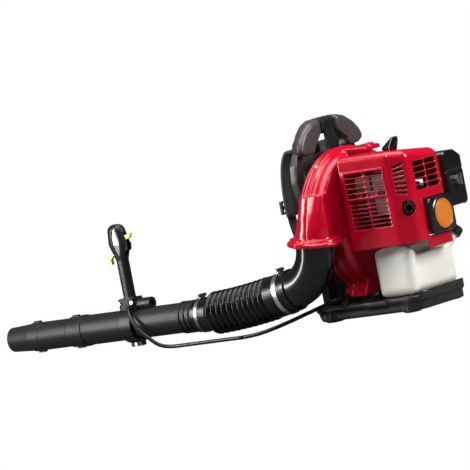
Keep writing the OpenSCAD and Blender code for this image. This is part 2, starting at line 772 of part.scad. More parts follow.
module muffler() color(alloy) difference() {
  union() {
    slab_yz(muffler_x0, muffler_x1) translate([cyl_y, (muffler_z0 + muffler_z1) / 2])
      round_rect(muffler_l, muffler_z1 - muffler_z0, muffler_r);
    slab_yz((muffler_x0 + muffler_x1) / 2 - 1.5, (muffler_x0 + muffler_x1) / 2 + 1.5)
      translate([cyl_y, (muffler_z0 + muffler_z1) / 2])
        round_rect(muffler_l + 2 * seam_out, muffler_z1 - muffler_z0 + 2 * seam_out, muffler_r + seam_out);
  }
  rod_x(muffler_x1 - 30, muffler_x1 + 1, 9, cyl_y, deck_top + 39);
}

port_at = [-88, cyl_y - 44, 236];
port_turn = 230;              // heading of the outlet in plan, in degrees

// Exhaust outlet: a short steel tube with a deflector lip, through the cover
module exhaust_outlet() color(steel) difference() {
  union() {
    rod_y(port_at.y - 32, port_at.y, 9.5, port_at.x, port_at.z);
    translate([port_at.x, port_at.y - 27, port_at.z]) rotate([0, 90, port_turn]) {
      cylinder(h = 24, r = 9);
      translate([0, 0, 19]) cylinder(h = 4, r = 11);
    }
  }
  rod_y(port_at.y - 27, port_at.y + 1, 7.5, port_at.x, port_at.z);
  translate([port_at.x, port_at.y - 27, port_at.z]) rotate([0, 90, port_turn])
    cylinder(h = 40, r = 7.5);
}

module spark_plug() color(steel) {
  translate([0, cyl_y, cyl_top - 12]) cylinder(h = 12, r = 5);
  translate([0, cyl_y, cyl_top]) cylinder(h = 8, r = 10, $fn = 6);
  translate([0, cyl_y, cyl_top + 8]) cylinder(h = 18, r = 6);
}

plug_cap_z = cyl_top + 8 + fit;
module spark_plug_cap() color(rubber) difference() {
  hull() {
    translate([0, cyl_y, plug_cap_z]) cylinder(h = 12, r = 10, $fn = 32);
    translate([0, cyl_y - 12, plug_cap_z + 22]) cylinder(h = 10, r = 7, $fn = 32);
    translate([0, cyl_y + 22, plug_cap_z + 4]) cylinder(h = 6, r = 5, $fn = 32);
  }
  translate([0, cyl_y, plug_cap_z - 1]) cylinder(h = 19 + fit, r = 6 + shaft_gap);
}

// ---- engine cover ----

// Rounding centres of the cover's edges, each with its radius
cover_points = [
  [14 - cover_side, case_y0 - 14 - fit, cover_h, 14], [16 - cover_side, chamfer_y - cover_rear, cover_h - 1, 16],
  [chamfer_x - cover_side + 6, 20 - cover_rear, cover_h - 3, 20], [cover_x1 - 24, 24 - cover_rear, cover_h - 14, 24],
  [cover_x1 - 14, case_y0 - 14 - fit, cover_h - 8, 14], [-34, case_y0 - 14 - fit, cover_h, 14]];

module cover_form(inset) hull() for (p = cover_points) {
  translate([p.x, p.y, p.z - p[3]]) sphere(p[3] - inset, $fn = 32);
  translate([p.x, p.y, skirt_foot - inset]) cylinder(h = 2, r = p[3] - inset, $fn = 32);
}

// A block of slots: columns by rows of openings between thin bars
module slots(w, h, cols, rows, depth) {
  cw = (w - (cols - 1) * grille_bar * 1.6) / cols;
  rh = (h - (rows - 1) * grille_bar) / rows;
  for (c = [0:cols - 1], k = [0:rows - 1])
    translate([c * (cw + grille_bar * 1.6), -depth / 2, k * (rh + grille_bar)]) cube([cw, depth, rh]);
}

grille_y0 = -8;               // front end of the side grille
grille_l = 106;
grille_z = 203;
lower_grille_h = 64;
upper_grille_h = 56;
upper_grille_z = grille_z + lower_grille_h + 8;
rear_grille_x = -66;
rear_grille_w = 88;
rear_grille_z = 270;
rear_grille_h = 64;

module side_grilles() {
  // turned so that slot columns run along -Y on the near side
  translate([-cover_side, grille_y0, 0]) rotate([0, 0, -90]) {
    translate([0, 0, upper_grille_z]) slots(grille_l, upper_grille_h, 2, 5, 30);
    difference() {
      translate([2, 0, grille_z]) slots(grille_l - 4, lower_grille_h, 2, 7, 30);
      // slanting front end of the lower grille
      translate([0, -20, grille_z - 1]) rotate([0, -8, 0]) translate([-30, 0, -8]) cube([30, 40, 90]);
    }
  }
}

module corner_louvres()
  translate([-cover_side, chamfer_y - cover_rear, 0])
    rotate([0, 0, -atan2(chamfer_y - 6, chamfer_x - 4)])
      for (k = [0:6]) translate([15, -15, 272 + k * 9.5]) rotate([0, 12 - k * 4, 0]) cube([27, 30, 4.6]);

// Two round screw bosses in the last row of the upper side grille
module grille_bosses() for (part = [0.3, 0.72])
  translate([-cover_side - 2, grille_y0 - part * grille_l, upper_grille_z + 5]) rotate([0, 90, 0])
    linear_extrude(cover_wall + 1) pipe_section(7.5, 3);

module engine_cover() color(red) {
  grille_bosses();
  cover_shell();
}

module cover_shell() difference() {
  union() {
    difference() {
      cover_form(0);
      cover_form(cover_wall);
      // open front, right side and foot
      box([-300, case_y0 - 14 - fit, 0], [300, 300, 600]);
      box([cover_x1 - 13, -starter_front - 2, 0], [200, 300, carb_z + 32]);
      box([-300, 14 - cover_rear + 20, 0], [300, 300, cover_foot]);
      box([-300, -300, 0], [starter_x0 - 8, 300, cover_foot]);
    }
    // raised frame round the upper side grille
    slab_yz(-cover_side - 2, -cover_side + 1) difference() {
      translate([grille_y0 - grille_l / 2, upper_grille_z + upper_grille_h / 2])
        square([grille_l + 8, upper_grille_h + 8], center = true);
      translate([grille_y0 - grille_l / 2, upper_grille_z + upper_grille_h / 2])
        square([grille_l, upper_grille_h], center = true);
    }
  }
  side_grilles();
  corner_louvres();
  translate([rear_grille_x, -cover_rear, rear_grille_z]) slots(rear_grille_w, rear_grille_h, 2, 5, 20);
  // starter opening, exhaust opening and plug opening
  box([starter_x0 - fit, -cover_rear - 10, starter_z0 - fit],
    [starter_x1 + 40, -cover_rear + 30, starter_z1 + fit]);
  translate([port_at.x, port_at.y - 27, port_at.z]) rotate([0, 90, port_turn]) translate([0, 0, 2])
    intersection() {
      cylinder(h = 60, r = 17);
      translate([-20, -12, 0]) cube([40, 40, 60]);
    }
  box([-16, cyl_y - 34, cover_h - 60], [16, cyl_y + 38, cover_h + 20]);
}

// ---- starter ----

module starter_housing() color(black) difference() {
  union() {
    slab_xz(-starter_rear, -starter_front) translate([(starter_x0 + starter_x1) / 2, (starter_z0 + starter_z1) / 2])
      round_rect(starter_x1 - starter_x0, starter_z1 - starter_z0, 16);
    rod_y(-starter_rear - 2, -starter_rear + 1, disc_r + 6, 0, crank_z);
  }
  difference() {
    slab_xz(-starter_rear + 5, -starter_front + 1)
      translate([(starter_x0 + starter_x1) / 2, (starter_z0 + starter_z1) / 2])
        round_rect(starter_x1 - starter_x0 - 8, starter_z1 - starter_z0 - 8, 12);
    rod_y(-starter_rear, pulley_y + pulley_t, 6, 0, crank_z);
    for (p = starter_posts) rod_y(-starter_rear, -starter_front, 6, p.x, crank_z + p.y);
  }
  rod_y(-starter_rear - 5, -starter_rear + 1, disc_r + fit, 0, crank_z);
  // rope guide and cooling slots
  rod_x(starter_x1 - 10, starter_x1 + 10, rope_r + 2, pulley_y + pulley_t / 2, rope_z);
  for (k = [0:4]) box([starter_x0 - 5, -starter_rear + 10, crank_z - 26 + k * 12],
    [starter_x0 + 5, -starter_front - 6, crank_z - 20 + k * 12]);
}

module starter_disc() color(orange) difference() {
  rod_y(-starter_rear - 2.5, -starter_rear + 1, disc_r, 0, crank_z);
  translate([0, -starter_rear - 2, crank_z]) rotate([90, 0, 0]) rotate_extrude()
    translate([disc_r - 5, 0]) square([1.5, 2]);
}

module starter_pulley() color(dark_grey) difference() {
  union() {
    rod_y(pulley_y, pulley_y + 2.5, pulley_r + 5, 0, crank_z);
    rod_y(pulley_y, pulley_y + pulley_t, pulley_r, 0, crank_z);
    rod_y(pulley_y + pulley_t - 2.5, pulley_y + pulley_t, pulley_r + 5, 0, crank_z);
  }
  rod_y(pulley_y - 1, pulley_y + pulley_t + 1, 6 + shaft_gap, 0, crank_z);
  for (a = [0:60:300]) translate([18 * cos(a), pulley_y - 1, crank_z + 18 * sin(a)])
    rotate([-90, 0, 0]) cylinder(h = pulley_t + 2, r = 5);
}

module starter_grip() color(black) difference() {
  translate([grip_x, pulley_y + pulley_t / 2, rope_z]) {
    translate([8, 0, -20]) hull() {
      translate([0, 0, 3]) cylinder(h = 34, r = 6, $fn = 32);
      cylinder(h = 40, r = 4, $fn = 32);
    }
    rotate([0, 90, 0]) cylinder(h = 5, r1 = 5, r2 = 6);
  }
  rod_x(grip_x - 1, grip_x + 8, rope_r, pulley_y + pulley_t / 2, rope_z);
}

module starter_rope() color("#d8d4c8")
  rod_x(0, grip_x + 8, rope_r - 0.2, pulley_y + pulley_t / 2, rope_z);

// ---- carburettor and air cleaner ----

carb_x1 = 84;
module carburettor() color(alloy) difference() {
  union() {
    round_block([carb_x0, cyl_y - 20, carb_z - 20], [carb_x1, cyl_y + 16, carb_z + 18], 6);
    rod_x(carb_x1 - 1, carb_x1 + 4, 9, cyl_y + 4, carb_z - 8);
    box([carb_x0 + 12, filter_y, carb_z - 16], [carb_x1 - 4, cyl_y - 19, carb_z + 16]);
  }
  rod_x(carb_x0 - 1, carb_x1 - 14, 8, cyl_y, carb_z);
  rod_x(carb_x1 - 10, carb_x1 + 6, 6, cyl_y + 4, carb_z - 8);
  rod_x(carb_x1 - 5, carb_x1 + 6, 2.5 + shaft_gap, cyl_y - 10, carb_z + 8);
}

module choke_lever() color(black) {
  rod_x(carb_x1 - 4, carb_x1 + 5, 2.5, cyl_y - 10, carb_z + 8);
  slab_yz(carb_x1 + 0.5, carb_x1 + 4.5) hull() {
    translate([cyl_y - 10, carb_z + 8]) circle(6);
    translate([cyl_y + 16, carb_z + 22]) circle(4.5);
  }
}

module primer_bulb() color("#d9d6c8") {
  rod_x(carb_x1 - 5.5, carb_x1 + 4, 6 - shaft_gap, cyl_y + 4, carb_z - 8);
  translate([carb_x1 + 4, cyl_y + 4, carb_z - 8]) rotate([0, 90, 0]) intersection() {
    sphere(6 - shaft_gap);
    cylinder(h = 20, r = 10);
  }
}

// Face of the air cleaner: a box with one cut corner
module filter_face(inset) difference() {
  translate([filter_x + filter_w / 2, filter_z + filter_h / 2])
    round_rect(filter_w - 2 * inset, filter_h - 2 * inset, 12 - inset / 2);
  translate([filter_x + filter_w - inset, filter_z + filter_h - inset]) rotate(-34)
    translate([-60, -14]) square([120, 60]);
}

module air_filter_base() color(black) difference() {
  slab_xz(filter_y - filter_base_t, filter_y) filter_face(1.5);
  slab_xz(filter_y - filter_base_t - 1, filter_y - 4) filter_face(5);
  rod_y(filter_y - 20, filter_y + 1, 12, knob_x - 14, carb_z);
}

module air_filter_element() color("#3a3a34") difference() {
  slab_xz(cover_y - 14, filter_y - 4) filter_face(6);
  rod_y(cover_y - 30, filter_y + 10, 9, knob_x, knob_z);
}

module air_filter_cover() color(black) difference() {
  union() {
    slab_xz(cover_y - filter_cover_d, filter_y - filter_base_t) filter_face(0);
    box([filter_x + filter_w - 1, cover_y - 26, filter_z - 2], [filter_x + filter_w + 5, cover_y - 6, filter_z + 22]);
  }
  slab_xz(cover_y - filter_cover_d + 3, filter_y) filter_face(4);
  rod_y(cover_y - filter_cover_d - 1, filter_y, 4 + shaft_gap, knob_x, knob_z);
  // sunk band across the cover
  box([filter_x - 1, cover_y - filter_cover_d - 1, knob_z + 20],
    [filter_x + filter_w + 9, cover_y - filter_cover_d + 1.5, knob_z + 24]);
}

module filter_cover_knob() color(steel) {
  rod_y(cover_y - filter_cover_d - 10, cover_y - filter_cover_d - fit, 11, knob_x, knob_z);
  rod_y(cover_y - filter_cover_d - 1, filter_y - 4.3, 4, knob_x, knob_z);
  translate([knob_x, cover_y - filter_cover_d - 10, knob_z]) cube([6, 10, 26], center = true);
}

// ---- fuel tank ----

module round_x_block(a, b, r)
  slab_yz(a.x, b.x) translate([(a.y + b.y) / 2, (a.z + b.z) / 2]) round_rect(b.y - a.y, b.z - a.z, r);

// The tank's outside, drawn in by an inset: a block rounded in all three directions
module tank_form(inset) {
  a = [tank_x0 + inset, tank_y1 - tank_l + inset, base_h + inset];
  b = [tank_x0 + tank_w - inset, tank_y1 - inset, tank_h - inset];
  r = tank_r - inset;
  intersection() {
    round_block(a, b, r);
    round_y_block(a, b, r);
    round_x_block(a, b, r);
  }
}

module cap_frame() translate(cap_at) rotate(cap_tilt) children();

module fuel_tank() color(tank_white) difference() {
  union() {
    difference() {
      tank_form(0);
      box([starter_x0 - 14, tank_y1 - tank_l - 1, notch_z], [starter_x1 + 12, tank_y1 - tank_l + 22, 300]);
    }
    cap_frame() translate([0, 0, -18]) cylinder(h = cap_lift + 26, r = cap_r - 3);
  }
  difference() {
    tank_form(tank_wall);
    box([starter_x0 - 14 - tank_wall, tank_y1 - tank_l - 1, notch_z - tank_wall],
      [starter_x1 + 12 + tank_wall, tank_y1 - tank_l + 22 + tank_wall, 300]);
  }
  cap_frame() translate([0, 0, -20]) cylinder(h = cap_lift + 36, r = cap_r - 5);
}

module fuel_cap() color(black) cap_frame() difference() {
  union() {
    translate([0, 0, cap_lift]) cylinder(h = cap_h, r = cap_r);
    for (a = [0:30:330]) rotate(a) translate([cap_r - 0.5, -1.5, cap_lift + 3]) cube([2.5, 3, cap_h - 5]);
  }
  translate([0, 0, cap_lift - 1]) cylinder(h = 9 + fit, r = cap_r - 3 + fit);
}

module fuel_lines() color("#3d3a30") for (k = [0, 1])
  sweep(smooth([[58, -44 - 14 * k, tank_h], [58, -44 - 14 * k, tank_h + 22],
    [62 - 4 * k, -50 - 10 * k, 190], [64 - 6 * k, -60 - 8 * k, 212],
    [64 - 6 * k, -66 - 8 * k, carb_z - 32], [64 - 6 * k, -66 - 8 * k, carb_z - 26],
    [64 - 6 * k, -66 - 8 * k, carb_z - 20]]), 2.5, 10);

// ---- elbow, bellows and tubes ----

// Children at the bend's turning point, swept by an angle of the bend
module bend_frame(angle)
  outlet_frame() translate([0, -elbow_bend_r, elbow_start]) rotate([angle, 0, 0])
    translate([0, elbow_bend_r, 0]) children();

// The elbow's curved length, as a pipe wall
module bend(r, wall)
  outlet_frame() translate([0, -elbow_bend_r, elbow_start]) rotate([90, 0, 90])
    rotate_extrude(angle = elbow_sweep) translate([elbow_bend_r, 0]) pipe_section(r, wall);

module pipe_section(r, wall) difference() {
  circle(r);
  circle(r - wall);
}

module pipe(l, r, wall) linear_extrude(l) pipe_section(r, wall);

module outlet_elbow() color(black) {
  outlet_frame() translate([0, 0, -flange_t + 4]) pipe(elbow_start + flange_t - 4, elbow_r, tube_wall);
  bend(elbow_r, tube_wall);
  bend_frame(elbow_sweep) pipe(elbow_end_l, elbow_r, tube_wall);
  // collar over the bend's end, against the bellows
  bend_frame(elbow_sweep) translate([0, 0, -2]) pipe(hose_lead + 2 - fit, rear_cuff_r, 5.5);
}

// Frame on the bellows' middle line, at a distance from its rear end; Z runs along it
module hose_frame(s) {
  a = hose_dip - s / hose_r * 180 / PI;
  translate([tube_x, hose_y + hose_r * (sin(hose_dip) - sin(a)), tube_z + hose_r * (1 - cos(a))])
    rotate([-90 - a, 0, 0]) children();
}

// Worm-drive band clamp: a thin band, a screw housing and the screw
module band_clamp(r, w) difference() {
  union() {
    cylinder(h = w, r = r + 1.2);
    translate([-9, -r - 9, 1]) cube([18, 11, w - 2]);
    translate([-15, -r - 6, w / 2]) rotate([0, 90, 0]) cylinder(h = 30, r = 4);
  }
  translate([0, 0, -1]) cylinder(h = w + 2, r = r);
}

module rear_hose_clamp() color(steel) hose_frame(12) band_clamp(rear_cuff_r + fit, 11);

module front_hose_clamp() color(steel) hose_frame(bellows_l - 20) band_clamp(front_cuff_r + fit, 9);

// Radius of the bellows at a distance along it: cuff, rings, cuff
hose_sides = 24;
rings_from = 58;
rings_to = bellows_l - 46;
ring_pitch = (rings_to - rings_from) / ring_count;
hose_stations = concat([0, 10, rings_from - 4],
  [for (k = [0:ring_count - 1], f = [0, 0.28, 0.5, 0.78]) rings_from + (k + f) * ring_pitch],
  [rings_to, rings_to + 3, rings_to + 7, bellows_l]);
function ring_wave(s) = let (f = (s - rings_from) / ring_pitch, g = f - floor(f + 0.01))
  g > 0.2 && g < 0.6 ? 1 : 0;
function hose_outer(s) = s < rings_from - 1 ? rear_cuff_r
  : s > rings_to + 1 ? front_cuff_r + (s < rings_to + 6 ? 2 : 0)
  : bellows_r - 1.2 * (s - rings_from) / (rings_to - rings_from) - 7 * (1 - ring_wave(s));
cuff_flat = 1 / cos(180 / hose_sides);
function hose_inner(s) = s < cuff_overlap + 4 ? (elbow_r + fit) * cuff_flat
  : s > bellows_l - cuff_overlap - 4 ? (swivel_r + fit) * cuff_flat
  : elbow_r - 4 - 4 * (s - rings_from) / (rings_to - rings_from);
inner_stations = [bellows_l, bellows_l - cuff_overlap - 2, bellows_l - cuff_overlap - 8, 120,
  cuff_overlap + 8, cuff_overlap + 2, 0];
hose_profile = concat([for (s = hose_stations) [s, hose_outer(s)]], [for (s = inner_stations) [s, hose_inner(s)]]);

function hose_point(p, angle) = let (
    a = hose_dip - p.x / hose_r * 180 / PI,
    c = [tube_x, hose_y + hose_r * (sin(hose_dip) - sin(a)), tube_z + hose_r * (1 - cos(a))])
  c + p.y * cos(angle) * [1, 0, 0] + p.y * sin(angle) * [0, sin(a), cos(a)];

module flexible_bellows() color(rubber) {
  n = len(hose_profile);
  points = [for (p = hose_profile, j = [0:hose_sides - 1]) hose_point(p, 360 * j / hose_sides)];
  faces = [for (i = [0:n - 1], j = [0:hose_sides - 1]) let (
      a = i * hose_sides + j, b = i * hose_sides + (j + 1) % hose_sides,
      c = ((i + 1) % n) * hose_sides + j, d = ((i + 1) % n) * hose_sides + (j + 1) % hose_sides)
    each [[a, b, c], [b, d, c]]];
  polyhedron(points, faces, convexity = 10);
}

// Tube section about the tube's axis
module tube_frame(y) translate([tube_x, y, tube_z]) rotate([-90, 0, 0]) children();

module swivel_pipe() color(dark_grey) difference() {
  tube_frame(tube_y) union() {
    cylinder(h = swivel_l - spigot_l, r = swivel_r);
    // ribs in front of the bellows
    for (k = [0:2]) translate([0, 0, cuff_overlap + 8 + k * 14]) cylinder(h = 6, r = swivel_r + 2.5);
    cylinder(h = swivel_l, r = straight_r - tube_wall - turn_gap);
    translate([0, 0, swivel_l - spigot_l - 14]) cylinder(h = 14, r = swivel_r + 2);
    // bayonet pins
    for (a = [0, 180]) rotate(a) translate([0, 0, swivel_l - 12]) rotate([0, 90, 0])
      cylinder(h = straight_r - 0.5, r = 3);
  }
  tube_frame(tube_y - 1) cylinder(h = swivel_l + 2, r = straight_r - 2 * tube_wall - turn_gap);
  tube_frame(tube_y - 1) cylinder(h = swivel_l - spigot_l - 3, r = swivel_r - tube_wall);
}

// Sleeve that turns on the spigot behind it: bayonet slots for two pins
module bayonet_tube(y, l, r, r_end, spigot) difference() {
  tube_frame(y - spigot_l + turn_gap) union() {
    cylinder(h = l + spigot_l - turn_gap - spigot, r1 = r, r2 = r_end);
    cylinder(h = 30, r = r + 2.5);
    translate([0, 0, 30]) cylinder(h = 3, r1 = r + 2.5, r2 = r);
    for (a = [0, 180]) rotate(a + 90) translate([r + 1, -5, 6]) cube([5, 10, 18]);
  }
  tube_frame(y - spigot_l - 1) cylinder(h = l + spigot_l + 2, r = r_end - tube_wall);
  tube_frame(y - spigot_l - 1) cylinder(h = spigot_l + 3, r = r - tube_wall);
  tube_frame(y - spigot_l - 1) for (a = [0, 180]) rotate(a) rotate(-7)
    rotate_extrude(angle = 40) translate([0, spigot_l - 15]) square([r + 1, 7.6]);
}

module straight_pipe() color(dark_grey) {
  bayonet_tube(straight_y, straight_l, straight_r, straight_r, spigot_l);
  difference() {
    tube_frame(nozzle_y - spigot_l) union() {
      translate([0, 0, -8]) cylinder(h = 8 + spigot_l, r = nozzle_r - tube_wall - turn_gap);
      translate([0, 0, -8]) cylinder(h = 8, r = straight_r - 1);
      for (a = [0, 180]) rotate(a) translate([0, 0, spigot_l - 12]) rotate([0, 90, 0])
        cylinder(h = nozzle_r - 0.5, r = 3);
    }
    tube_frame(nozzle_y - spigot_l - 9) cylinder(h = 40, r = nozzle_r - 2 * tube_wall - turn_gap);
  }
}

module nozzle() color(black) difference() {
  union() {
    tube_frame(nozzle_y - spigot_l + turn_gap) cylinder(h = 30, r = nozzle_r + 2.5);
    tube_frame(nozzle_y - spigot_l + turn_gap) for (a = [90, 270]) rotate(a)
      translate([nozzle_r + 1, -5, 6]) cube([5, 10, 18]);
    tube_frame(nozzle_y + 6) cylinder(h = nozzle_l - 6, r1 = nozzle_r + 1, r2 = mouth_r + tube_wall);
  }
  tube_frame(nozzle_y - spigot_l - 1) cylinder(h = spigot_l + 4, r = nozzle_r - tube_wall);
  tube_frame(nozzle_y + 2.9) cylinder(h = nozzle_l - 12 - 2.9, r1 = nozzle_r - tube_wall, r2 = mouth_r);
  tube_frame(nozzle_y + nozzle_l - 12.01) cylinder(h = 13, r = mouth_r);
  tube_frame(nozzle_y - spigot_l - 1) for (a = [0, 180]) rotate(a) rotate(-7)
    rotate_extrude(angle = 40) translate([0, spigot_l - 15]) square([nozzle_r + 1, 7.6]);
}

// ---- control handle ----

module handle_frame() translate([tube_x, handle_y, tube_z]) children();

module handle_bracket() color(black) handle_frame() difference() {
  union() {
    rod_y(-bracket_w / 2, bracket_w / 2, collar_z);
    round_block([-20, -24, swivel_r - 8], [20, 24, grip_z], 8);
    rod_y(-62, -20, 14, 0, collar_z + 2);
    for (sx = [-1, 1]) box([sx * 4 - 3.9, -bracket_w / 2, -collar_z - 9], [sx * 4 + 3.9, bracket_w / 2, -swivel_r - 2]);
  }
  rod_y(-90, 60, swivel_r);
  box([-fit, -60, -100], [fit, 60, 0]);
  rod_y(-90, -34, 7, 0, collar_z + 2);
  translate([0, 0, collar_z - 4]) round_block([-13 - fit, -15 - fit, 0], [13 + fit, 15 + fit, 60], 6);
  for (y = [-18, 18]) rod_x(-30, 30, 2.2, y, collar_z + 10);
}

module handle_screws() color(steel) handle_frame() {
  for (y = [-18, 18], sx = [-1, 1]) rod_x(sx > 0 ? 20 : -23, sx > 0 ? 23 : -20, 4.2, y, collar_z + 10);
  for (sx = [-1, 1]) rod_x(sx > 0 ? 7.9 : -10.9, sx > 0 ? 10.9 : -7.9, 4, 0, -collar_z - 4);
}

// Oval stem with a rounded head
module handle_form() {
  translate([0, 0, grip_z]) linear_extrude(handle_h - 70 - grip_z) round_rect(stem_w, stem_d, stem_w / 2 - 0.5);
  hull() {
    translate([0, 0, handle_h - 84]) linear_extrude(2) round_rect(stem_w, stem_d, stem_w / 2 - 0.5, $fn = 32);
    for (p = [[-10, 46], [10, 44], [-3, handle_t / 2], [7, handle_t / 2]])
      translate([0, p.x, handle_h - p.y]) sphere(handle_t / 2, $fn = 32);
  }
  // base of the cruise lever
  slab_yz(-9, 9) {
    translate([-20, handle_h - 50]) circle(8);
    translate([-20, handle_h - 58]) circle(7);
  }
}

module handle_body() difference() {
  union() {
    handle_form();
    // tenon in the bracket
    round_block([-13, -15, collar_z - 3.7], [13, 15, collar_z + 20], 6);
  }
  // slots for the trigger and the cruise lever
  box([-slot_t / 2, trigger_pin_y - 13, trigger_pin_z - 40], [slot_t / 2, 60, trigger_pin_z + 9]);
  box([-slot_t / 2, -60, lever_pin_z - 38], [slot_t / 2, lever_pin_y + 11, lever_pin_z + 14]);
  for (p = [[trigger_pin_y, trigger_pin_z], [lever_pin_y, lever_pin_z]])
    rod_x(-pin_l / 2 - 1, pin_l / 2 + 1, pin_r + shaft_gap, p.x, p.y);
  // recess of the bright insert
  slab_yz(-handle_t, insert_x) insert_outline(fit);
}

module insert_outline(grow) translate([-3, handle_h - 40]) intersection_for(s = [-1, 1])
  translate([s * 62, 0]) circle(70 + grow);

module handle_left_half() color(black) handle_frame() intersection() {
  handle_body();
  box([-40, -80, 0], [0, 80, 300]);
}

module handle_right_half() color(black) handle_frame() intersection() {
  handle_body();
  box([0, -80, 0], [40, 80, 300]);
}

module handle_insert() color(light_grey) handle_frame() intersection() {
  handle_form();
  slab_yz(-handle_t, insert_x) insert_outline(0);
}

// Trigger: hinged at its top on a pin, with a finger blade in front of the stem
module throttle_trigger() color(yellow) handle_frame() {
  translate([0, trigger_pin_y, trigger_pin_z]) {
    slab_yz(-lever_t / 2, lever_t / 2) difference() {
      union() {
        circle(6);
        polygon([[-3, 5], [8, 2], [26, -1], [30, -12], [27, -27], [21, -28], [22, -16], [14, -9], [-4, -5]]);
      }
    }
    rod_x(-pin_l / 2, pin_l / 2, pin_r);
  }
}

module cruise_lever() color(yellow) handle_frame()
  translate([0, lever_pin_y, lever_pin_z]) {
    slab_yz(-lever_t / 2, lever_t / 2) {
      circle(7);
      polygon([[2, 7], [-18, 9], [-27, 12], [-28, 4], [-19, -1], [2, -6]]);
    }
    rod_x(-pin_l / 2, pin_l / 2, pin_r);
  }

// ---- throttle cable ----

cable_path = smooth(cable_route);
join_i = 3 * cable_join;
front_path = concat([for (i = [0:join_i - 1]) cable_path[i]],
  [cable_path[join_i] - 0.2 * heading(cable_path, join_i)]);
module throttle_cable_front() color(rubber) sweep(front_path, cable_r, 8);
module throttle_cable_rear() color(rubber) sweep(cable_path, cable_r, 8, join_i);

clip_end = cable_route[len(cable_route) - 1];
module cable_clip() color(black) {
  round_block([clip_end.x, clip_end.y - 9, base_h], [clip_end.x + 14, clip_end.y + 9, clip_end.z + 8], 3);
}

// ---- the assembly ----

base_frame();
backrest();
carry_handle();
back_pad();
shoulder_strap_left();
shoulder_strap_right();
strap_buckles();
vibration_mounts();
fan_case_front();
fan_case_rear();
inlet_guard();
case_screws();
fan_impeller();
fan_nut();
crankshaft();
flywheel();
crankcase();
engine_cylinder();
muffler();
exhaust_outlet();
spark_plug();
spark_plug_cap();
engine_cover();
starter_housing();
starter_disc();
starter_pulley();
starter_grip();
starter_rope();
carburettor();
choke_lever();
primer_bulb();
air_filter_base();
air_filter_element();
air_filter_cover();
filter_cover_knob();
fuel_tank();
fuel_cap();
fuel_lines();
outlet_elbow();
rear_hose_clamp();
flexible_bellows();
front_hose_clamp();
swivel_pipe();
straight_pipe();
nozzle();
handle_bracket();
handle_screws();
handle_left_half();
handle_right_half();
handle_insert();
throttle_trigger();
cruise_lever();
throttle_cable_rear();
throttle_cable_front();
cable_clip();
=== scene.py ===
# %% [markdown]
# # A backpack leaf blower
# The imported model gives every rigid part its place. This script dresses it: it
# sets the light and the camera, gives each part its finish, and models what is
# soft or finely shaped. Lengths are metres, +Z is up and the tube points along +Y.

# %% Load the frame
import json
import math

import bpy
import numpy as np
from mathutils import Matrix, Vector

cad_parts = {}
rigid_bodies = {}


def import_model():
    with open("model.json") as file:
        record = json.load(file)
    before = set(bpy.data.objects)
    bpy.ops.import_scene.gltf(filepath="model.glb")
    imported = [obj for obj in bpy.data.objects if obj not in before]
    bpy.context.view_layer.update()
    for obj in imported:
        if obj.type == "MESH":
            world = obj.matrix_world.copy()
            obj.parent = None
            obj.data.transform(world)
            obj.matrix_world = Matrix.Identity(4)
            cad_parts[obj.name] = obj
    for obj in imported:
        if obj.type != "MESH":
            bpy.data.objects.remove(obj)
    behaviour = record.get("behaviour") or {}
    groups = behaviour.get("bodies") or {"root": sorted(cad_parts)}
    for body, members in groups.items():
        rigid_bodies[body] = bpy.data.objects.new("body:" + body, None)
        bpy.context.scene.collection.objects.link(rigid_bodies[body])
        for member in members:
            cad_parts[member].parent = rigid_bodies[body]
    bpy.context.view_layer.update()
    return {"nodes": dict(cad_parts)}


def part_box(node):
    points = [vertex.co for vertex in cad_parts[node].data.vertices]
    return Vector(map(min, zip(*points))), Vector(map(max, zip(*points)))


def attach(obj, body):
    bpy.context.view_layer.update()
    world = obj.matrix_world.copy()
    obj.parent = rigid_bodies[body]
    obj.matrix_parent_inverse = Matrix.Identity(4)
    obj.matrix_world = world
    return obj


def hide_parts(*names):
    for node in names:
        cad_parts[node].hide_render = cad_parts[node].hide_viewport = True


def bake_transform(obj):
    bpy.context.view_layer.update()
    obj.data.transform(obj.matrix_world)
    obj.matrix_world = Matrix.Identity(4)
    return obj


for leftover in list(bpy.data.objects):
    bpy.data.objects.remove(leftover)
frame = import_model()
nodes = frame["nodes"]
scene = bpy.context.scene
print(len(nodes), "parts in the frame")


def span(name):
    """Lowest and highest corner of a part at rest, as arrays."""
    low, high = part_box(name)
    return np.array(low[:]), np.array(high[:])


# %% [markdown]
# ## Camera
# A long lens far away keeps parallel edges nearly parallel. The camera could be
# placed by hand; here its direction is worked out from three angles, so that each
# can be changed alone. It stands behind the machine on its left and is rolled a
# little, so the tube runs down to the left.

# %% Camera
AZIMUTH = math.radians(-53.0)
ELEVATION = math.radians(4.0)
ROLL = math.radians(-11.0)
DISTANCE = 16.0
FARTHEST = 400.0
VIEW_WIDTH = 1.0682
TARGET = np.array([-0.181, 0.277, 0.237])
SENSOR = 36.0

level = np.array([math.cos(AZIMUTH), math.sin(AZIMUTH), 0.0])
outward = np.array([math.sin(AZIMUTH), -math.cos(AZIMUTH), 0.0])
back = outward * math.cos(ELEVATION) + np.array([0.0, 0.0, math.sin(ELEVATION)])
upright = np.cross(back, level)
right = math.cos(ROLL) * level + math.sin(ROLL) * upright
top = np.cross(back, right)

camera = bpy.data.objects.new("camera", bpy.data.cameras.new("camera"))
bpy.context.collection.objects.link(camera)
camera.data.sensor_width = SENSOR
camera.data.lens = SENSOR * DISTANCE / VIEW_WIDTH
camera.data.clip_end = FARTHEST
turned_and_placed = np.column_stack([right, top, back, TARGET + back * DISTANCE])
camera.matrix_world = Matrix([*turned_and_placed.tolist(), [0, 0, 0, 1]])
scene.camera = camera
print("lens", round(camera.data.lens), "mm")


# %% [markdown]
# ## Shader maths as Python
# A node's output socket goes into a small class, so that `1 - mask * 0.5` adds
# the Math nodes by itself. One method, `add`, makes every other node.

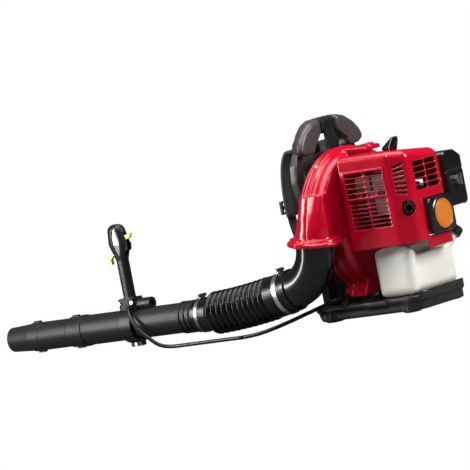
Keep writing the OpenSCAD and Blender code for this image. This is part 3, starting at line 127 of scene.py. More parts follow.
# %% A socket that can be reckoned with
class Flow:
    """An output socket with its tree, so that sums and products of it become nodes."""

    def __init__(self, tree, socket):
        self.tree, self.socket = tree, socket

    def math(self, operation, *values):
        """One Math node on the values."""
        return self.add("ShaderNodeMath", {"operation": operation}, dict(enumerate(values)))

    def add(self, kind, settings=None, inputs=None, output=0):
        """Makes a node: its settings first, then a value or a link for each named socket."""
        node = self.tree.nodes.new(kind)
        for key, value in (settings or {}).items():
            if key == "stops":
                ramp = node.color_ramp
                while len(ramp.elements) < len(value):
                    ramp.elements.new(0.5)
                for element, (at, colour) in zip(ramp.elements, value):
                    element.position, element.color = at, (*colour, 1.0)
            else:
                setattr(node, key, value)
        for key, value in (inputs or {}).items():
            socket = node.inputs[key]
            if isinstance(value, Flow):
                self.tree.links.new(value.socket, socket)
            elif isinstance(value, tuple) and len(value) == 3 and len(socket.default_value) == 4:
                socket.default_value = (*value, 1.0)
            else:
                socket.default_value = value
        return Flow(self.tree, node.outputs[output])

    def __add__(self, other):
        return self.math("ADD", self, other)

    __radd__ = __add__

    def __mul__(self, other):
        return self.math("MULTIPLY", self, other)

    __rmul__ = __mul__

    def __sub__(self, other):
        return self.math("SUBTRACT", self, other)

    def __rsub__(self, other):
        return self.math("SUBTRACT", other, self)

    def sine(self):
        return self.math("SINE", self)

    def clip(self, low, high):
        """0 below low, 1 above high, and a straight ramp between them."""
        return self.add("ShaderNodeMapRange", {"clamp": True}, {0: self, 1: low, 2: high, 3: 0.0, 4: 1.0})

    def axis(self, index):
        """X, Y or Z of this vector, for an index of 0, 1 or 2."""
        return self.add("ShaderNodeSeparateXYZ", None, {0: self}, index)

    def blend(self, one, two):
        """Colour one where this value is 0, colour two where it is 1."""
        return self.add("ShaderNodeMix", {"data_type": "RGBA"}, {0: self, 6: one, 7: two}, 2)

    def noise(self, scale, detail):
        """Noise that follows this vector."""
        inputs = {"Vector": self, "Scale": scale, "Detail": detail, "Roughness": 0.55}
        return self.add("ShaderNodeTexNoise", None, inputs)

    def cells(self, scale):
        """Distance to the nearest of many scattered points."""
        return self.add("ShaderNodeTexVoronoi", None, {"Vector": self, "Scale": scale})


def finish(name, colour, roughness, metal=0.0, coat=0.0, coat_rough=0.1, **fixed):
    """A new material; returns it, its shader node and the Object coordinates."""
    material = bpy.data.materials.new(name)
    material.use_nodes = True
    tree = material.node_tree
    shader = tree.nodes["Principled BSDF"]
    shader.inputs["Base Color"].default_value = (*colour, 1.0)
    shader.inputs["Roughness"].default_value = roughness
    shader.inputs["Metallic"].default_value = metal
    shader.inputs["Coat Weight"].default_value = coat
    shader.inputs["Coat Roughness"].default_value = coat_rough
    for key, value in fixed.items():
        shader.inputs[key.replace("_", " ")].default_value = value
    place = Flow(tree, tree.nodes.new("ShaderNodeTexCoord").outputs["Object"])
    return material, shader, place


def feed(shader, key, flow):
    """Links a value into a named socket of the shader."""
    flow.tree.links.new(flow.socket, shader.inputs[key])


def raise_by(shader, height, distance, strength=1.0, edge=0.0):
    """Bump from a height of 0 to 1 over a distance in metres; edge is the radius of round corners."""
    inputs = {"Strength": strength, "Distance": distance, "Height": height}
    if edge:
        inputs["Normal"] = height.add("ShaderNodeBevel", {"samples": 6}, {"Radius": edge})
    feed(shader, "Normal", height.add("ShaderNodeBump", None, inputs))


# %% [markdown]
# ## Moulded plastics
# Moulded plastic is never one flat colour: its gloss drifts with the flow of the
# melt, it has a faint orange peel, and dust dulls the faces that look up. Its
# edges get a painted highlight: they are coloured paler, as if they caught the
# light. The Bevel node finds them from how far a rounded normal turns away from
# the surface's own, so no edge has to be marked.

# %% Moulded plastics
def moulded(name, colour, roughness, grain, coat=0.0, drift=0.08, dust=0.0,
            edge=0.0012, pale=None, shine=0.5):
    """Plastic with a peel or a leather grain of the given depth, in metres, round edges and a painted
    highlight in the pale colour along them.
    """
    material, shader, place = finish(name, colour, roughness, coat=coat, coat_rough=0.08,
                                     Specular_IOR_Level=shine)
    cloud = place.noise(7.0, 4.0)
    lighter = tuple(min(1.0, c * (1 + drift) + drift * 0.02) for c in colour)
    darker = tuple(c * (1 - drift) for c in colour)
    shade = cloud.clip(0.35, 0.65).blend(darker, lighter)
    if dust:
        facing = place.add("ShaderNodeNewGeometry", None, None, 1).axis(2).clip(0.3, 1.0)
        shade = (facing * cloud.clip(0.3, 0.75) * dust).blend(shade, (0.24, 0.23, 0.21))
    # Painted highlight: the edges are blended, in patches, towards the pale colour, as if lit.
    if pale:
        rounded = place.add("ShaderNodeBevel", {"samples": 4}, {"Radius": edge * 0.6})
        flat = place.add("ShaderNodeNewGeometry", None, None, 1)
        same_way = rounded.add("ShaderNodeVectorMath", {"operation": "DOT_PRODUCT"}, {0: rounded, 1: flat}, 1)
        painted_highlight_at_edge = (1.0 - same_way).clip(0.03, 0.3)
        shade = (painted_highlight_at_edge * place.noise(60.0, 3.0).clip(0.2, 0.6) * 0.6).blend(shade, pale)
    feed(shader, "Base Color", shade)
    feed(shader, "Roughness", roughness + (place.noise(38.0, 2.0) - 0.5) * 0.14)
    peel = place.cells(1100.0) * 0.6 + place.noise(520.0, 2.0) * 0.4
    raise_by(shader, peel, grain, 0.5, edge)
    return material


# The pale colours below are painted highlights on the edges.
red_gloss = moulded("red gloss", (0.42, 0.0, 0.015), 0.18, 0.00001, coat=0.3, drift=0.02, edge=0.0035,
                    pale=(0.80, 0.26, 0.29), shine=0.3)
black_gloss = moulded("black gloss", (0.004, 0.004, 0.005), 0.2, 0.00002, coat=0.4, edge=0.003,
                      pale=(0.05, 0.05, 0.05))
black_grain = moulded("black grain", (0.007, 0.0065, 0.007), 0.36, 0.00004, dust=0.008, shine=0.35)
head_grain = moulded("head grain", (0.044, 0.037, 0.036), 0.34, 0.00005, dust=0.015, edge=0.004,
                     pale=(0.16, 0.15, 0.145))
base_grain = moulded("base grain", (0.014, 0.012, 0.012), 0.32, 0.00004, dust=0.02, edge=0.004,
                     pale=(0.12, 0.115, 0.11))
tube_black = moulded("tube black", (0.012, 0.0095, 0.010), 0.4, 0.00003, dust=0.008, shine=0.35)
elbow_gloss = moulded("elbow gloss", (0.005, 0.0045, 0.0045), 0.2, 0.00001, coat=0.2, shine=0.35)
grey_plain = moulded("grey plastic", (0.34, 0.34, 0.36), 0.4, 0.00003)
pale_lens = moulded("pale lens", (0.36, 0.36, 0.43), 0.14, 0.000005, coat=0.6)
yellow_gloss = moulded("yellow gloss", (0.70, 0.50, 0.0), 0.3, 0.00001, coat=0.3)
orange_gloss = moulded("orange gloss", (0.56, 0.15, 0.010), 0.28, 0.00001, coat=0.4)

# %% [markdown]
# ## Rubber and woven cloth
# The bellows and the mounts are rubber, dull with a faint bloom. The straps, the
# pad and the rope are woven. Cloth could be a picture laid on the surface; two
# sine waves over the piece's own coordinates give the threads at a fixed pitch.

# %% Rubber and woven cloth
def rubbery(name, colour, roughness, grain=0.00005, shine=0.5):
    """Dull rubber with a bloom that lies in pale clouds."""
    material, shader, place = finish(name, colour, roughness, Specular_IOR_Level=shine)
    bloom = place.noise(16.0, 5.0).clip(0.45, 0.8)
    feed(shader, "Base Color", (bloom * 0.2).blend(colour, (0.05, 0.05, 0.05)))
    feed(shader, "Roughness", roughness + bloom * 0.12)
    raise_by(shader, place.noise(240.0, 2.0), grain, 0.3)
    return material


bellows_rubber = rubbery("bellows rubber", (0.004, 0.004, 0.004), 0.22, 0.00001, shine=0.3)
soft_rubber = rubbery("soft rubber", (0.022, 0.022, 0.022), 0.6)


def woven(name, colour, pitch, sheen):
    """Plain weave on Object coordinates: threads over and under at a fixed pitch."""
    material, shader, place = finish(name, colour, 0.82, Sheen_Weight=sheen, Sheen_Roughness=0.5)
    turn = 2 * math.pi / pitch
    across, along, upward = place.axis(0), place.axis(1), place.axis(2)
    over = (across * turn).sine()
    under = ((upward + along) * turn).sine()
    thread = over * under * 0.5 + 0.5
    lighter = tuple(c * 1.9 + 0.012 for c in colour)
    fluff = place.noise(90.0, 3.0)
    feed(shader, "Base Color", (thread * fluff).clip(0.1, 0.7).blend(colour, lighter))
    raise_by(shader, thread, pitch * 0.3, 0.6)
    return material


strap_webbing = woven("strap webbing", (0.018, 0.018, 0.019), 0.0022, 0.3)
pad_mesh = woven("pad mesh cloth", (0.02, 0.02, 0.021), 0.0034, 0.4)
rope_cord = woven("rope", (0.62, 0.60, 0.54), 0.0016, 0.1)

# %% [markdown]
# ## Metals
# Screws and clamps are bright steel, the engine is cast alloy and the muffler is
# marked by heat; the engine and the muffler are also coloured far darker, as
# painted shade for where they lie inside the cover. One function makes them all,
# because they differ only in colour, in gloss and in whether the skin is finely
# mottled or cast.

# %% Metals
def metal(name, colour, roughness, cast=False, tint=None):
    """Finely mottled steel, or alloy with a coarser cast skin; tint is a heat colour."""
    material, shader, place = finish(name, colour, roughness, metal=1.0)
    cloud = place.noise(24.0, 4.0).clip(0.3, 0.75)
    dark = tuple(c * 0.72 for c in colour)
    shade = cloud.blend(dark, colour)
    if tint:
        shade = place.noise(9.0, 3.0).clip(0.42, 0.68).blend(shade, tint)
    feed(shader, "Base Color", shade)
    fine = place.noise(420.0, 3.0) if cast else place.noise(150.0, 5.0)
    feed(shader, "Roughness", roughness + (fine - 0.5) * (0.3 if cast else 0.18))
    raise_by(shader, fine, 0.00012 if cast else 0.00002, 0.7)
    return material


bright_steel = metal("bright steel", (0.66, 0.67, 0.68), 0.28)
cast_alloy = metal("cast alloy", (0.50, 0.51, 0.52), 0.5, cast=True)
# Painted shade: the engine's alloy is a far darker copy of the cast alloy, and the muffler's steel is
# darkened too, for the shade inside the cover; the muffler's tint is its real heat colour.
alloy_in_painted_shade = metal("alloy in painted shade", (0.09, 0.09, 0.095), 0.55, cast=True)
heat_marked_steel_in_painted_shade = metal("heat-marked steel in painted shade", (0.09, 0.085, 0.08), 0.42, tint=(0.06, 0.04, 0.03))
dull_steel = metal("dull steel", (0.28, 0.28, 0.29), 0.34)
machined = metal("machined alloy", (0.62, 0.63, 0.64), 0.36)

# %% [markdown]
# ## Milky tank
# The tank is blow-moulded and lets a little light in, so fuel shows as a slightly
# darker lower part. The fuel itself could be modelled; a colour that changes at
# the fuel's height is simpler and is seen the same way from outside.

# %% Milky tank plastic
FUEL_HEIGHT = 0.096
FUEL_FADE = 0.008


def milky():
    """Blow-moulded polyethylene: fuel shows faintly through the lower part."""
    material, shader, place = finish("milky tank", (0.83, 0.81, 0.75), 0.36, Subsurface_Weight=0.25,
                                     Subsurface_Scale=0.006, Subsurface_Radius=(1.0, 0.9, 0.7))
    level = place.axis(2) + place.noise(30.0, 2.0) * 0.004
    fuel = level.clip(FUEL_HEIGHT, FUEL_HEIGHT - FUEL_FADE)
    cloud = place.noise(12.0, 3.0).clip(0.3, 0.7)
    shade = (fuel * 0.35).blend(cloud.blend((0.80, 0.78, 0.72), (0.86, 0.845, 0.79)), (0.80, 0.74, 0.62))
    feed(shader, "Base Color", shade)
    feed(shader, "Roughness", 0.34 + place.noise(60.0, 2.0) * 0.1)
    raise_by(shader, place.noise(220.0, 2.0), 0.00008, 0.6)
    return material


tank_milky = milky()

# %% [markdown]
# ## Which part has which finish
# Each part could be given its material by itself. One table by finish is shorter,
# and shows which parts belong together. A part missing from it is printed.

# %% Give each part its finish
FINISHES = {
    red_gloss: ["fan_case_front", "fan_case_rear", "engine_cover"],
    head_grain: ["backrest"],
    base_grain: ["base_frame"],
    elbow_gloss: ["outlet_elbow"],
    black_gloss: ["starter_housing", "air_filter_cover", "air_filter_base", "spark_plug_cap", "fuel_cap"],
    black_grain: ["strap_buckles", "inlet_guard", "starter_grip", "choke_lever", "handle_bracket",
                  "handle_left_half", "handle_right_half", "cable_clip", "carry_handle", "starter_pulley"],
    tube_black: ["swivel_pipe", "straight_pipe", "nozzle"],
    grey_plain: ["primer_bulb"],
    pale_lens: ["handle_insert"],
    soft_rubber: ["vibration_mounts", "fuel_lines"],
    bellows_rubber: ["flexible_bellows", "throttle_cable_rear", "throttle_cable_front"],
    strap_webbing: ["shoulder_strap_left", "shoulder_strap_right"],
    pad_mesh: ["back_pad", "air_filter_element"],
    rope_cord: ["starter_rope"],
    bright_steel: ["case_screws", "fan_nut", "spark_plug", "filter_cover_knob",
                   "rear_hose_clamp", "handle_screws"],
    dull_steel: ["front_hose_clamp"],
    cast_alloy: ["fan_impeller", "carburettor"],
    alloy_in_painted_shade: ["crankcase", "engine_cylinder"],
    machined: ["crankshaft", "flywheel"],
    heat_marked_steel_in_painted_shade: ["muffler", "exhaust_outlet"],
    orange_gloss: ["starter_disc"],
    tank_milky: ["fuel_tank"],
    yellow_gloss: ["throttle_trigger", "cruise_lever"],
}
for material, names in FINISHES.items():
    for name in names:
        nodes[name].data.materials.clear()
        nodes[name].data.materials.append(material)
print("parts without a finish:", sorted(set(nodes) - {n for names in FINISHES.values() for n in names}))


# %% [markdown]
# ## Surfaces from numpy
# The hoses, cords, bands and the pad could be modelled by hand. Here each is a
# grid of points from a formula: rows run along it and columns run round it. One
# helper turns a grid into a mesh, closes it round and caps its ends.

# %% Grid to mesh
def piece(name, body, grid, material, replaces=(), caps=True, closed=False):
    """Mesh of a grid of points: quads between neighbours, joined round, and end to end if closed."""
    rows, columns = grid.shape[:2]
    index = np.arange(rows * columns).reshape(rows, columns)
    here = index if closed else index[:-1]
    there = np.roll(index, -1, 0) if closed else index[1:]
    quads = np.stack([here, np.roll(here, -1, 1), np.roll(there, -1, 1), there], -1)
    faces = quads.reshape(-1, 4).tolist()
    if caps and not closed:
        faces += [index[0][::-1].tolist(), index[-1].tolist()]
    mesh = bpy.data.meshes.new(name)
    mesh.from_pydata(grid.reshape(-1, 3).tolist(), [], faces)
    mesh.materials.append(material)
    mesh.validate()
    mesh.shade_smooth()
    made = bpy.data.objects.new(name, mesh)
    bpy.context.collection.objects.link(made)
    if body:
        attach(made, body)
    if replaces:
        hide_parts(*replaces)
    return made


def tube_grid(points, radii, sides, side_hint=(0.0, 0.0, 1.0)):
    """Rings square to a path: each ring's centre is a path point, its radius given there."""
    ahead = np.gradient(points, axis=0)
    ahead /= np.linalg.norm(ahead, axis=1)[:, None]
    across = np.cross(ahead, np.array(side_hint))
    across /= np.linalg.norm(across, axis=1)[:, None]
    above = np.cross(across, ahead)
    turn = np.linspace(0, 2 * np.pi, sides, endpoint=False)
    ring = np.cos(turn)[None, :, None] * across[:, None] + np.sin(turn)[None, :, None] * above[:, None]
    return points[:, None] + ring * np.broadcast_to(radii, len(points))[:, None, None]


def smooth_path(points, steps):
    """Catmull-Rom curve through the points, a number of steps to each span."""
    p = np.array(points, float)
    q = np.vstack([p[:1], p, p[-1:]])
    t = np.linspace(0, 1, steps, endpoint=False)[None, :, None]
    a, b, c, d = (q[i:i + len(p) - 1, None] for i in range(4))
    curve = (2 * b + t * (c - a) + t**2 * (2 * a - 5 * b + 4 * c - d) + t**3 * (3 * b - a - 3 * c + d)) / 2
    return np.vstack([curve.reshape(-1, 3), p[-1:]])


# %% [markdown]
# ## Softly rounded mouldings
# Moulded parts have no sharp corners. A Bevel modifier needs clean edges, which
# the carried parts' loose triangles don't have. So a copy of the part is meshed
# again in small even squares and then relaxed, which rounds every edge at once.

# %% Copies with round edges
def vertices(thing):
    """Vertex positions of an object's mesh as an array."""
    flat = np.empty(len(thing.data.vertices) * 3)
    thing.data.vertices.foreach_get("co", flat)
    return flat.reshape(-1, 3)


def set_vertices(thing, points):
    """Writes an array of positions into an object's mesh."""
    thing.data.vertices.foreach_set("co", points.ravel())
    thing.data.update()


def applied(thing):
    """Takes the modifiers' result as the mesh, shaded smooth, and drops the modifiers."""
    seen = thing.evaluated_get(bpy.context.evaluated_depsgraph_get())
    mesh = bpy.data.meshes.new_from_object(seen)
    thing.modifiers.clear()
    thing.data = mesh
    mesh.shade_smooth()


def softened(name, body, voxel, passes):
    """Copy of a part with its edges rounded: even squares of the voxel's size, relaxed in passes."""
    mesh = nodes[name].data.copy()
    mesh.transform(nodes[name].matrix_world)
    made = bpy.data.objects.new(name + "_moulded", mesh)
    bpy.context.collection.objects.link(made)
    remesh = made.modifiers.new("even", "REMESH")
    remesh.mode, remesh.voxel_size = "VOXEL", voxel
    relax = made.modifiers.new("relax", "SMOOTH")
    relax.factor, relax.iterations = 0.5, passes
    applied(made)
    made.data.materials.clear()
    made.data.materials.append(nodes[name].data.materials[0])
    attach(made, body)
    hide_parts(name)
    print(made.name, len(made.data.polygons), "squares")


# part, the body it rides on, the size of a square and the number of passes
MOULDINGS = (
    ("fuel_tank", "machine", 0.002, 30),
    ("base_frame", "machine", 0.0024, 6),
    ("backrest", "machine", 0.0024, 6),
    ("fan_case_front", "machine", 0.002, 4),
    ("fan_case_rear", "machine", 0.002, 4),
    ("starter_housing", "machine", 0.0013, 5),
    ("engine_cover", "machine", 0.00145, 3),
    ("handle_left_half", "tube", 0.001, 8),
    ("handle_right_half", "tube", 0.001, 8),
    ("air_filter_cover", "filter_cover", 0.0014, 4),
    ("spark_plug_cap", "plug_cap", 0.0007, 6),
)
for name, body, voxel, passes in MOULDINGS:
    softened(name, body, voxel, passes)

# %% [markdown]
# ## Throttle cable
# The sheathed cable leaves the handle's bracket, drops, lies along the ground
# beside the bellows and rises to its clip on the base. A rigid cable would be left
# behind when the tube moves. So it is in two lengths, as a bend goes across one
# joint at a time.

# %% Throttle cable
# millimetres, from the handle's bracket to the clip on the base
CABLE = np.array([
    [-188.3, 607, 105], [-192, 607, 105], [-197, 607, 105], [-208, 600, 96], [-215, 588, 76], [-216, 572, 52],
    [-212, 553, 32], [-209, 531, 14], [-206, 502, 6], [-205, 455, 5], [-204, 400, 5],
    [-203, 345, 5], [-203, 295, 5], [-201, 250, 8], [-195, 210, 15], [-183, 172, 24],
    [-165, 142, 33], [-147, 116, 41], [-132, 94, 48], [-119, 78, 53], [-108, 71, 54],
    [-100, 71, 54], [-97, 71, 54]]) / 1000
JOIN = 12
CABLE_D = 0.009
CABLE_SIDES = 20
STEPS = 6
cable_path = smooth_path(CABLE, STEPS)


def length_of(points):
    """Sum of the distances from each point of a path to the next."""
    return float(np.linalg.norm(np.diff(points, axis=0), axis=1).sum())


def sheath(name, path):
    """Round sheath along a path; it replaces the part of the same name."""
    grid = tube_grid(path, CABLE_D / 2, CABLE_SIDES)
    return piece(name, None, grid, bellows_rubber, ["throttle_" + name])


cable_front_path = cable_path[:JOIN * STEPS + 1]
cable_rear_path = cable_path[JOIN * STEPS:]
cable_front = sheath("cable_front", cable_front_path)
cable_rear = sheath("cable_rear", cable_rear_path)
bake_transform(cable_rear)
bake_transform(cable_front)
print("cable", round(length_of(cable_path), 3), "m")


# %% [markdown]
# ## Bellows
# The bellows is a soft hose with round folds. They could be rings set side by
# side; a radius that waves along the middle line gives one unbroken skin between
# two plain cuffs. It is cut in two at mid-length, because a bend goes across one
# joint at a time.

# %% Bellows
# where the hose's middle line starts, how steeply it dips there and how long it is
hose = dict(x=-0.168, dip=math.radians(12.0), length=0.276, y=0.15477, z=0.06417)
HOSE_R = hose["length"] / hose["dip"]


def hose_middle(s):
    """Point on the hose's middle line: an arc that flattens towards its front end."""
    angle = hose["dip"] - s / HOSE_R
    y = hose["y"] + HOSE_R * (math.sin(hose["dip"]) - np.sin(angle))
    z = hose["z"] + HOSE_R * (1 - np.cos(angle))
    return np.stack([np.full_like(s, hose["x"]), y, z], -1)


FOLDS = 11
FOLDS_FROM = 0.058
FOLDS_TO = 0.230
FOLD_HEIGHT = 0.0068
TROUGHS = (0.0440, 0.0428)
REAR_CUFF = (0.049, 0.0465)
FRONT_CUFF = (0.0435, 0.039)
LIP = (0.004, 0.006)


def hose_radius(s):
    """Cuff, folds, cuff: a wave whose crests are rounder than its troughs."""
    wave = np.abs(np.sin(np.pi * (s - FOLDS_FROM) / (FOLDS_TO - FOLDS_FROM) * FOLDS)) ** 0.7
    trough = np.interp(s, [FOLDS_FROM, FOLDS_TO], TROUGHS)
    places = [FOLDS_FROM - LIP[0], FOLDS_FROM, FOLDS_TO, FOLDS_TO + LIP[1]]
    cuffs = np.interp(s, places, REAR_CUFF + FRONT_CUFF)
    return np.where((s > FOLDS_FROM) & (s < FOLDS_TO), trough + wave * FOLD_HEIGHT, cuffs)


HOSE_STEP = 0.00075
HOSE_SIDES = 72


def hose_part(name, start, stop):
    """A stretch of hose from one place along its middle line to another."""
    s = np.linspace(start, stop, int((stop - start) / HOSE_STEP))
    grid = tube_grid(hose_middle(s), hose_radius(s), HOSE_SIDES, (1.0, 0.0, 0.0))
    part = piece(name, None, grid, bellows_rubber, ["flexible_bellows"], caps=False)
    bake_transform(part)


half_way = hose["length"] / 2
hose_part("bellows_rear", 0.0, half_way)
hose_part("bellows_front", half_way, hose["length"])
print("bellows folds", FOLDS, "middle line", hose["length"], "m")

# %% [markdown]
# ## Back pad
# The pad is foam in a sewn cloth cover. A flat block would look hard, so it starts
# as a closed shell, a little smaller than the foam it stands for. Cloth under air
# pressure gives it its crown, and the sewn channels are pressed in after.

# %% Cloth under pressure
SWELL_FRAMES = 20


def swell(thing, voxel, pressure, cap):
    """Remesh, then some frames of cloth under pressure, no point moving further than the cap."""
    remesh = thing.modifiers.new("even", "REMESH")
    remesh.mode, remesh.voxel_size = "VOXEL", voxel
    applied(thing)
    before = vertices(thing)
    cloth = thing.modifiers.new("swell", "CLOTH")
    cloth.settings.use_pressure = True
    cloth.settings.uniform_pressure_force = pressure
    cloth.settings.effector_weights.gravity = 0.0
    for frame_number in range(1, SWELL_FRAMES + 1):
        scene.frame_set(frame_number)
    applied(thing)
    move = vertices(thing) - before
    far = np.linalg.norm(move, axis=1)[:, None]
    set_vertices(thing, before + move * np.minimum(1.0, cap / np.maximum(far, 1e-9)))
    scene.frame_set(1)


# %% Back pad
NECK_IN = 0.012
NECK_RISE = 0.030
NECK_LAP = 0.012
CHANNELS = 4
CHANNEL_DEPTH = 0.0065
CHANNEL_WIDTH = 0.004
CHANNEL_SLOPE = 0.06
SQUARENESS = 7
pad_low, pad_high = span("back_pad")
pad_back, pad_face = pad_low[1], pad_high[1]
shoulder = pad_high[2] - NECK_RISE
neck_half = pad_high[0] - NECK_IN


def rounded_outline(low, high, inset, count=96):
    """Rounded rectangle in X and Z: a superellipse of a high power, drawn in by an inset."""
    turn = np.linspace(0, 2 * np.pi, count, endpoint=False)
    middle, half = (low + high) / 2, (high - low) / 2 - inset
    along = np.stack([np.cos(turn), np.sin(turn)], -1)
    return middle + half * np.sign(along) * np.abs(along) ** (2 / SQUARENESS)


def cushion(name, low, high, channels):
    """A pad on the backrest: a shell that swells, less a bell-shaped groove along each channel."""
    rings = []
    # inset from the outline and depth of each ring, from the backrest to the face
    for inset, y in ((0.024, pad_back + 0.001), (0.008, pad_back + 0.001), (0.004, pad_back + 0.004),
                     (0.004, pad_back + 0.009), (0.009, pad_face - 0.007), (0.016, pad_face - 0.005),
                     (0.026, pad_face - 0.004)):
        flat = rounded_outline(low, high, inset)
        rings.append(np.stack([flat[:, 0], np.full(len(flat), y), flat[:, 1]], -1))
    made = piece(name, "machine", np.array(rings), pad_mesh, ["back_pad"])
    swell(made, 0.005, 4.0, 0.005)
    points = vertices(made)
    points[:, 1] = np.maximum(points[:, 1], pad_back + 0.0003)
    set_vertices(made, points)
    made.modifiers.new("fine", "SUBSURF").levels = 1
    applied(made)
    points = vertices(made)
    front = np.clip((points[:, 1] - pad_back - 0.008) / 0.006, 0, 1)
    groove = np.zeros(len(points))
    for height in channels:
        away = points[:, 2] - height - CHANNEL_SLOPE * np.abs(points[:, 0])
        groove += np.exp(-(away / CHANNEL_WIDTH) ** 2)
    points[:, 1] -= front * np.minimum(groove, 1.0) * CHANNEL_DEPTH
    set_vertices(made, points)


main_low = pad_low[[0, 2]]
main_high = np.array([pad_high[0], shoulder])
cushion("pad", main_low, main_high, np.linspace(pad_low[2], shoulder, CHANNELS + 2)[1:-1])
cushion("pad_neck", np.array([-neck_half, shoulder - NECK_LAP]), np.array([neck_half, pad_high[2]]), [])

# %% [markdown]
# ## Welt
# A sewn cord runs round the pad's edge and hides the seam. It could be a bevelled
# curve; a tube on the pad's own outline stays with it if the pad's size changes.

# %% Welt round the pad
WELT_R = 0.0022
WELT_POINTS = 160
edge_line = rounded_outline(main_low, main_high, 0.003, WELT_POINTS)
edge_depth = np.full(WELT_POINTS, pad_back + 0.0075)
edge_points = np.stack([edge_line[:, 0], edge_depth, edge_line[:, 1]], -1)


def closed_tube(points, radius, sides):
    """Tube round a closed loop that lies in a plane of constant Y."""
    ahead = np.roll(points, -1, 0) - np.roll(points, 1, 0)
    ahead /= np.linalg.norm(ahead, axis=1)[:, None]
    out = np.cross(ahead, (0.0, 1.0, 0.0))
    turn = np.linspace(0, 2 * np.pi, sides, endpoint=False)[None, :, None]
    ring = np.cos(turn) * out[:, None] + np.sin(turn) * np.array([0, 1.0, 0])
    return points[:, None] + radius * ring


piece("pad_welt", "machine", closed_tube(edge_points, WELT_R, 10), strap_webbing, closed=True)
print("pad from", round(float(pad_low[2]), 3), "to", round(float(pad_high[2]), 3), "m high")

# %% [markdown]
# ## Shoulder straps
# Each strap is a padded band down to its buckle and plain webbing below. It could
# be draped as cloth; modelled directly, the firm band keeps one clean curve. All
# its parts follow that curve, and differ only in width, thickness and offset.

# %% Shoulder straps
strap_low, strap_high = span("shoulder_strap_right")
STRAP_X = (strap_low[0] + strap_high[0]) / 2
STRAP_W = strap_high[0] - strap_low[0]


def strap_curve(t):
    """Cubic curve from the strap's root, out over the shoulder and back to the hip, as Y and Z."""
    root = np.array([0.1378, 0.402])
    hip = np.array([0.1378, 0.084])
    over = root + [0.040, -0.020]
    under = hip + [0.044, 0.110]
    t = np.asarray(t)[:, None]
    return (1 - t) ** 3 * root + 3 * t * (1 - t) ** 2 * over + 3 * t**2 * (1 - t) * under + t**3 * hip


def band_grid(side, t, width, thick, lift, crown=0.0, sides=32):
    """Band along the strap's curve: a flat round-cornered section, raised by lift from the middle line."""
    line = strap_curve(t)
    ahead = np.gradient(line, axis=0)
    ahead /= np.linalg.norm(ahead, axis=1)[:, None]
    out = np.stack([-ahead[:, 1], ahead[:, 0]], -1)
    turn = np.linspace(0, 2 * np.pi, sides, endpoint=False)
    c, s = np.cos(turn), np.sin(turn)
    x = np.sign(c) * np.abs(c) ** 0.35
    n = np.sign(s) * np.abs(s) ** 0.5
    width, thick, lift = (np.broadcast_to(v, len(line)) for v in (width, thick, lift))
    height = lift[:, None] + n[None] * (thick[:, None] / 2) * (1 + crown * (1 - x[None] ** 2))
    yz = line[:, None] + out[:, None] * height[..., None]
    across = side * STRAP_X + x[None] * (width[:, None] / 2)
    return np.concatenate([across[..., None], yz], -1)


thread = woven("thread", (0.20, 0.20, 0.20), 0.0006, 0.1)
STITCH_W = 0.0011
STITCH_HALF = 0.0032
STITCH_THICK = np.array([0.0003, 0.0009, 0.0011, 0.0009, 0.0003])


def stitches(name, side, t, offset, lift):
    """Row of short thread bars along a strap, each a small lozenge: thin, thick, thin."""
    grids = []
    for at in t:
        run = at + np.linspace(-STITCH_HALF, STITCH_HALF, len(STITCH_THICK))
        grid = band_grid(side, run, STITCH_W, STITCH_THICK, lift, sides=6)
        grids.append(grid + np.array([offset, 0, 0]))
    rows, columns = grids[0].shape[:2]
    block = np.arange(rows * columns).reshape(rows, columns)
    here, there = block[:-1], block[1:]
    quads = np.stack([here, np.roll(here, -1, 1), np.roll(there, -1, 1), there], -1).reshape(-1, 4)
    faces = (quads[None] + (np.arange(len(grids)) * rows * columns)[:, None, None]).reshape(-1, 4)
    mesh = bpy.data.meshes.new(name)
    mesh.from_pydata(np.array(grids).reshape(-1, 3).tolist(), [], faces.tolist())
    mesh.materials.append(thread)
    made = bpy.data.objects.new(name, mesh)
    bpy.context.collection.objects.link(made)
    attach(made, "machine")


FOAM_END = 0.56
FOAM_THICK = 0.0085
BINDING_W = 0.0045
BINDING_THICK = 0.0065
WEBBING_W = 0.032
WEBBING_THICK = 0.0020
STITCH_AT = 0.0125
# how far the webbing lies above the strap's middle line, by places along the strap
WEBBING_PLACES = [0.02, 0.05, 0.40, 0.47, 0.53, 0.60, 0.70, 1.0]
WEBBING_LIFTS = [0.0, 0.0052, 0.0052, 0.0062, 0.0062, 0.0052, 0.001, 0.0]

for side, label in ((-1, "left"), (1, "right")):
    t = np.linspace(0.0, FOAM_END, 120)
    ends_in = np.clip(np.minimum(t / 0.02, (FOAM_END - t) / 0.03), 0.0, 1.0) ** 0.5
    foam_width = (STRAP_W - 0.003) * (0.55 + 0.45 * ends_in)
    foam_thick = FOAM_THICK * (0.25 + 0.75 * ends_in)
    foam = band_grid(side, t, foam_width, foam_thick, -0.0003, crown=0.12)
    strap = piece("strap_pad_" + label, "machine", foam, pad_mesh, ["shoulder_strap_" + label])
    for edge in (-1, 1):
        binding = band_grid(side, t, BINDING_W, BINDING_THICK * (0.4 + 0.6 * ends_in), 0.0, sides=12)
        binding = binding + np.array([edge * (STRAP_W / 2 - 0.0023), 0, 0])
        which = "outer" if edge * side > 0 else "inner"
        piece(f"strap_binding_{label}_{which}", "machine", binding, strap_webbing)
    run = np.linspace(0.02, 0.995, 160)
    lift = np.interp(run, WEBBING_PLACES, WEBBING_LIFTS)
    webbing = band_grid(side, run, WEBBING_W, WEBBING_THICK, lift, sides=16)
    piece("strap_webbing_" + label, "machine", webbing, strap_webbing)
    stitch_run = np.arange(0.06, 0.40, 0.0125)
    for offset, row in ((-STITCH_AT, "a"), (STITCH_AT, "b")):
        stitches(f"strap_stitches_{label}_{row}", side, stitch_run, offset, 0.0064)
print("straps", round(float(STRAP_W), 3), "m wide,", 2 * len(stitch_run), "stitches on each")
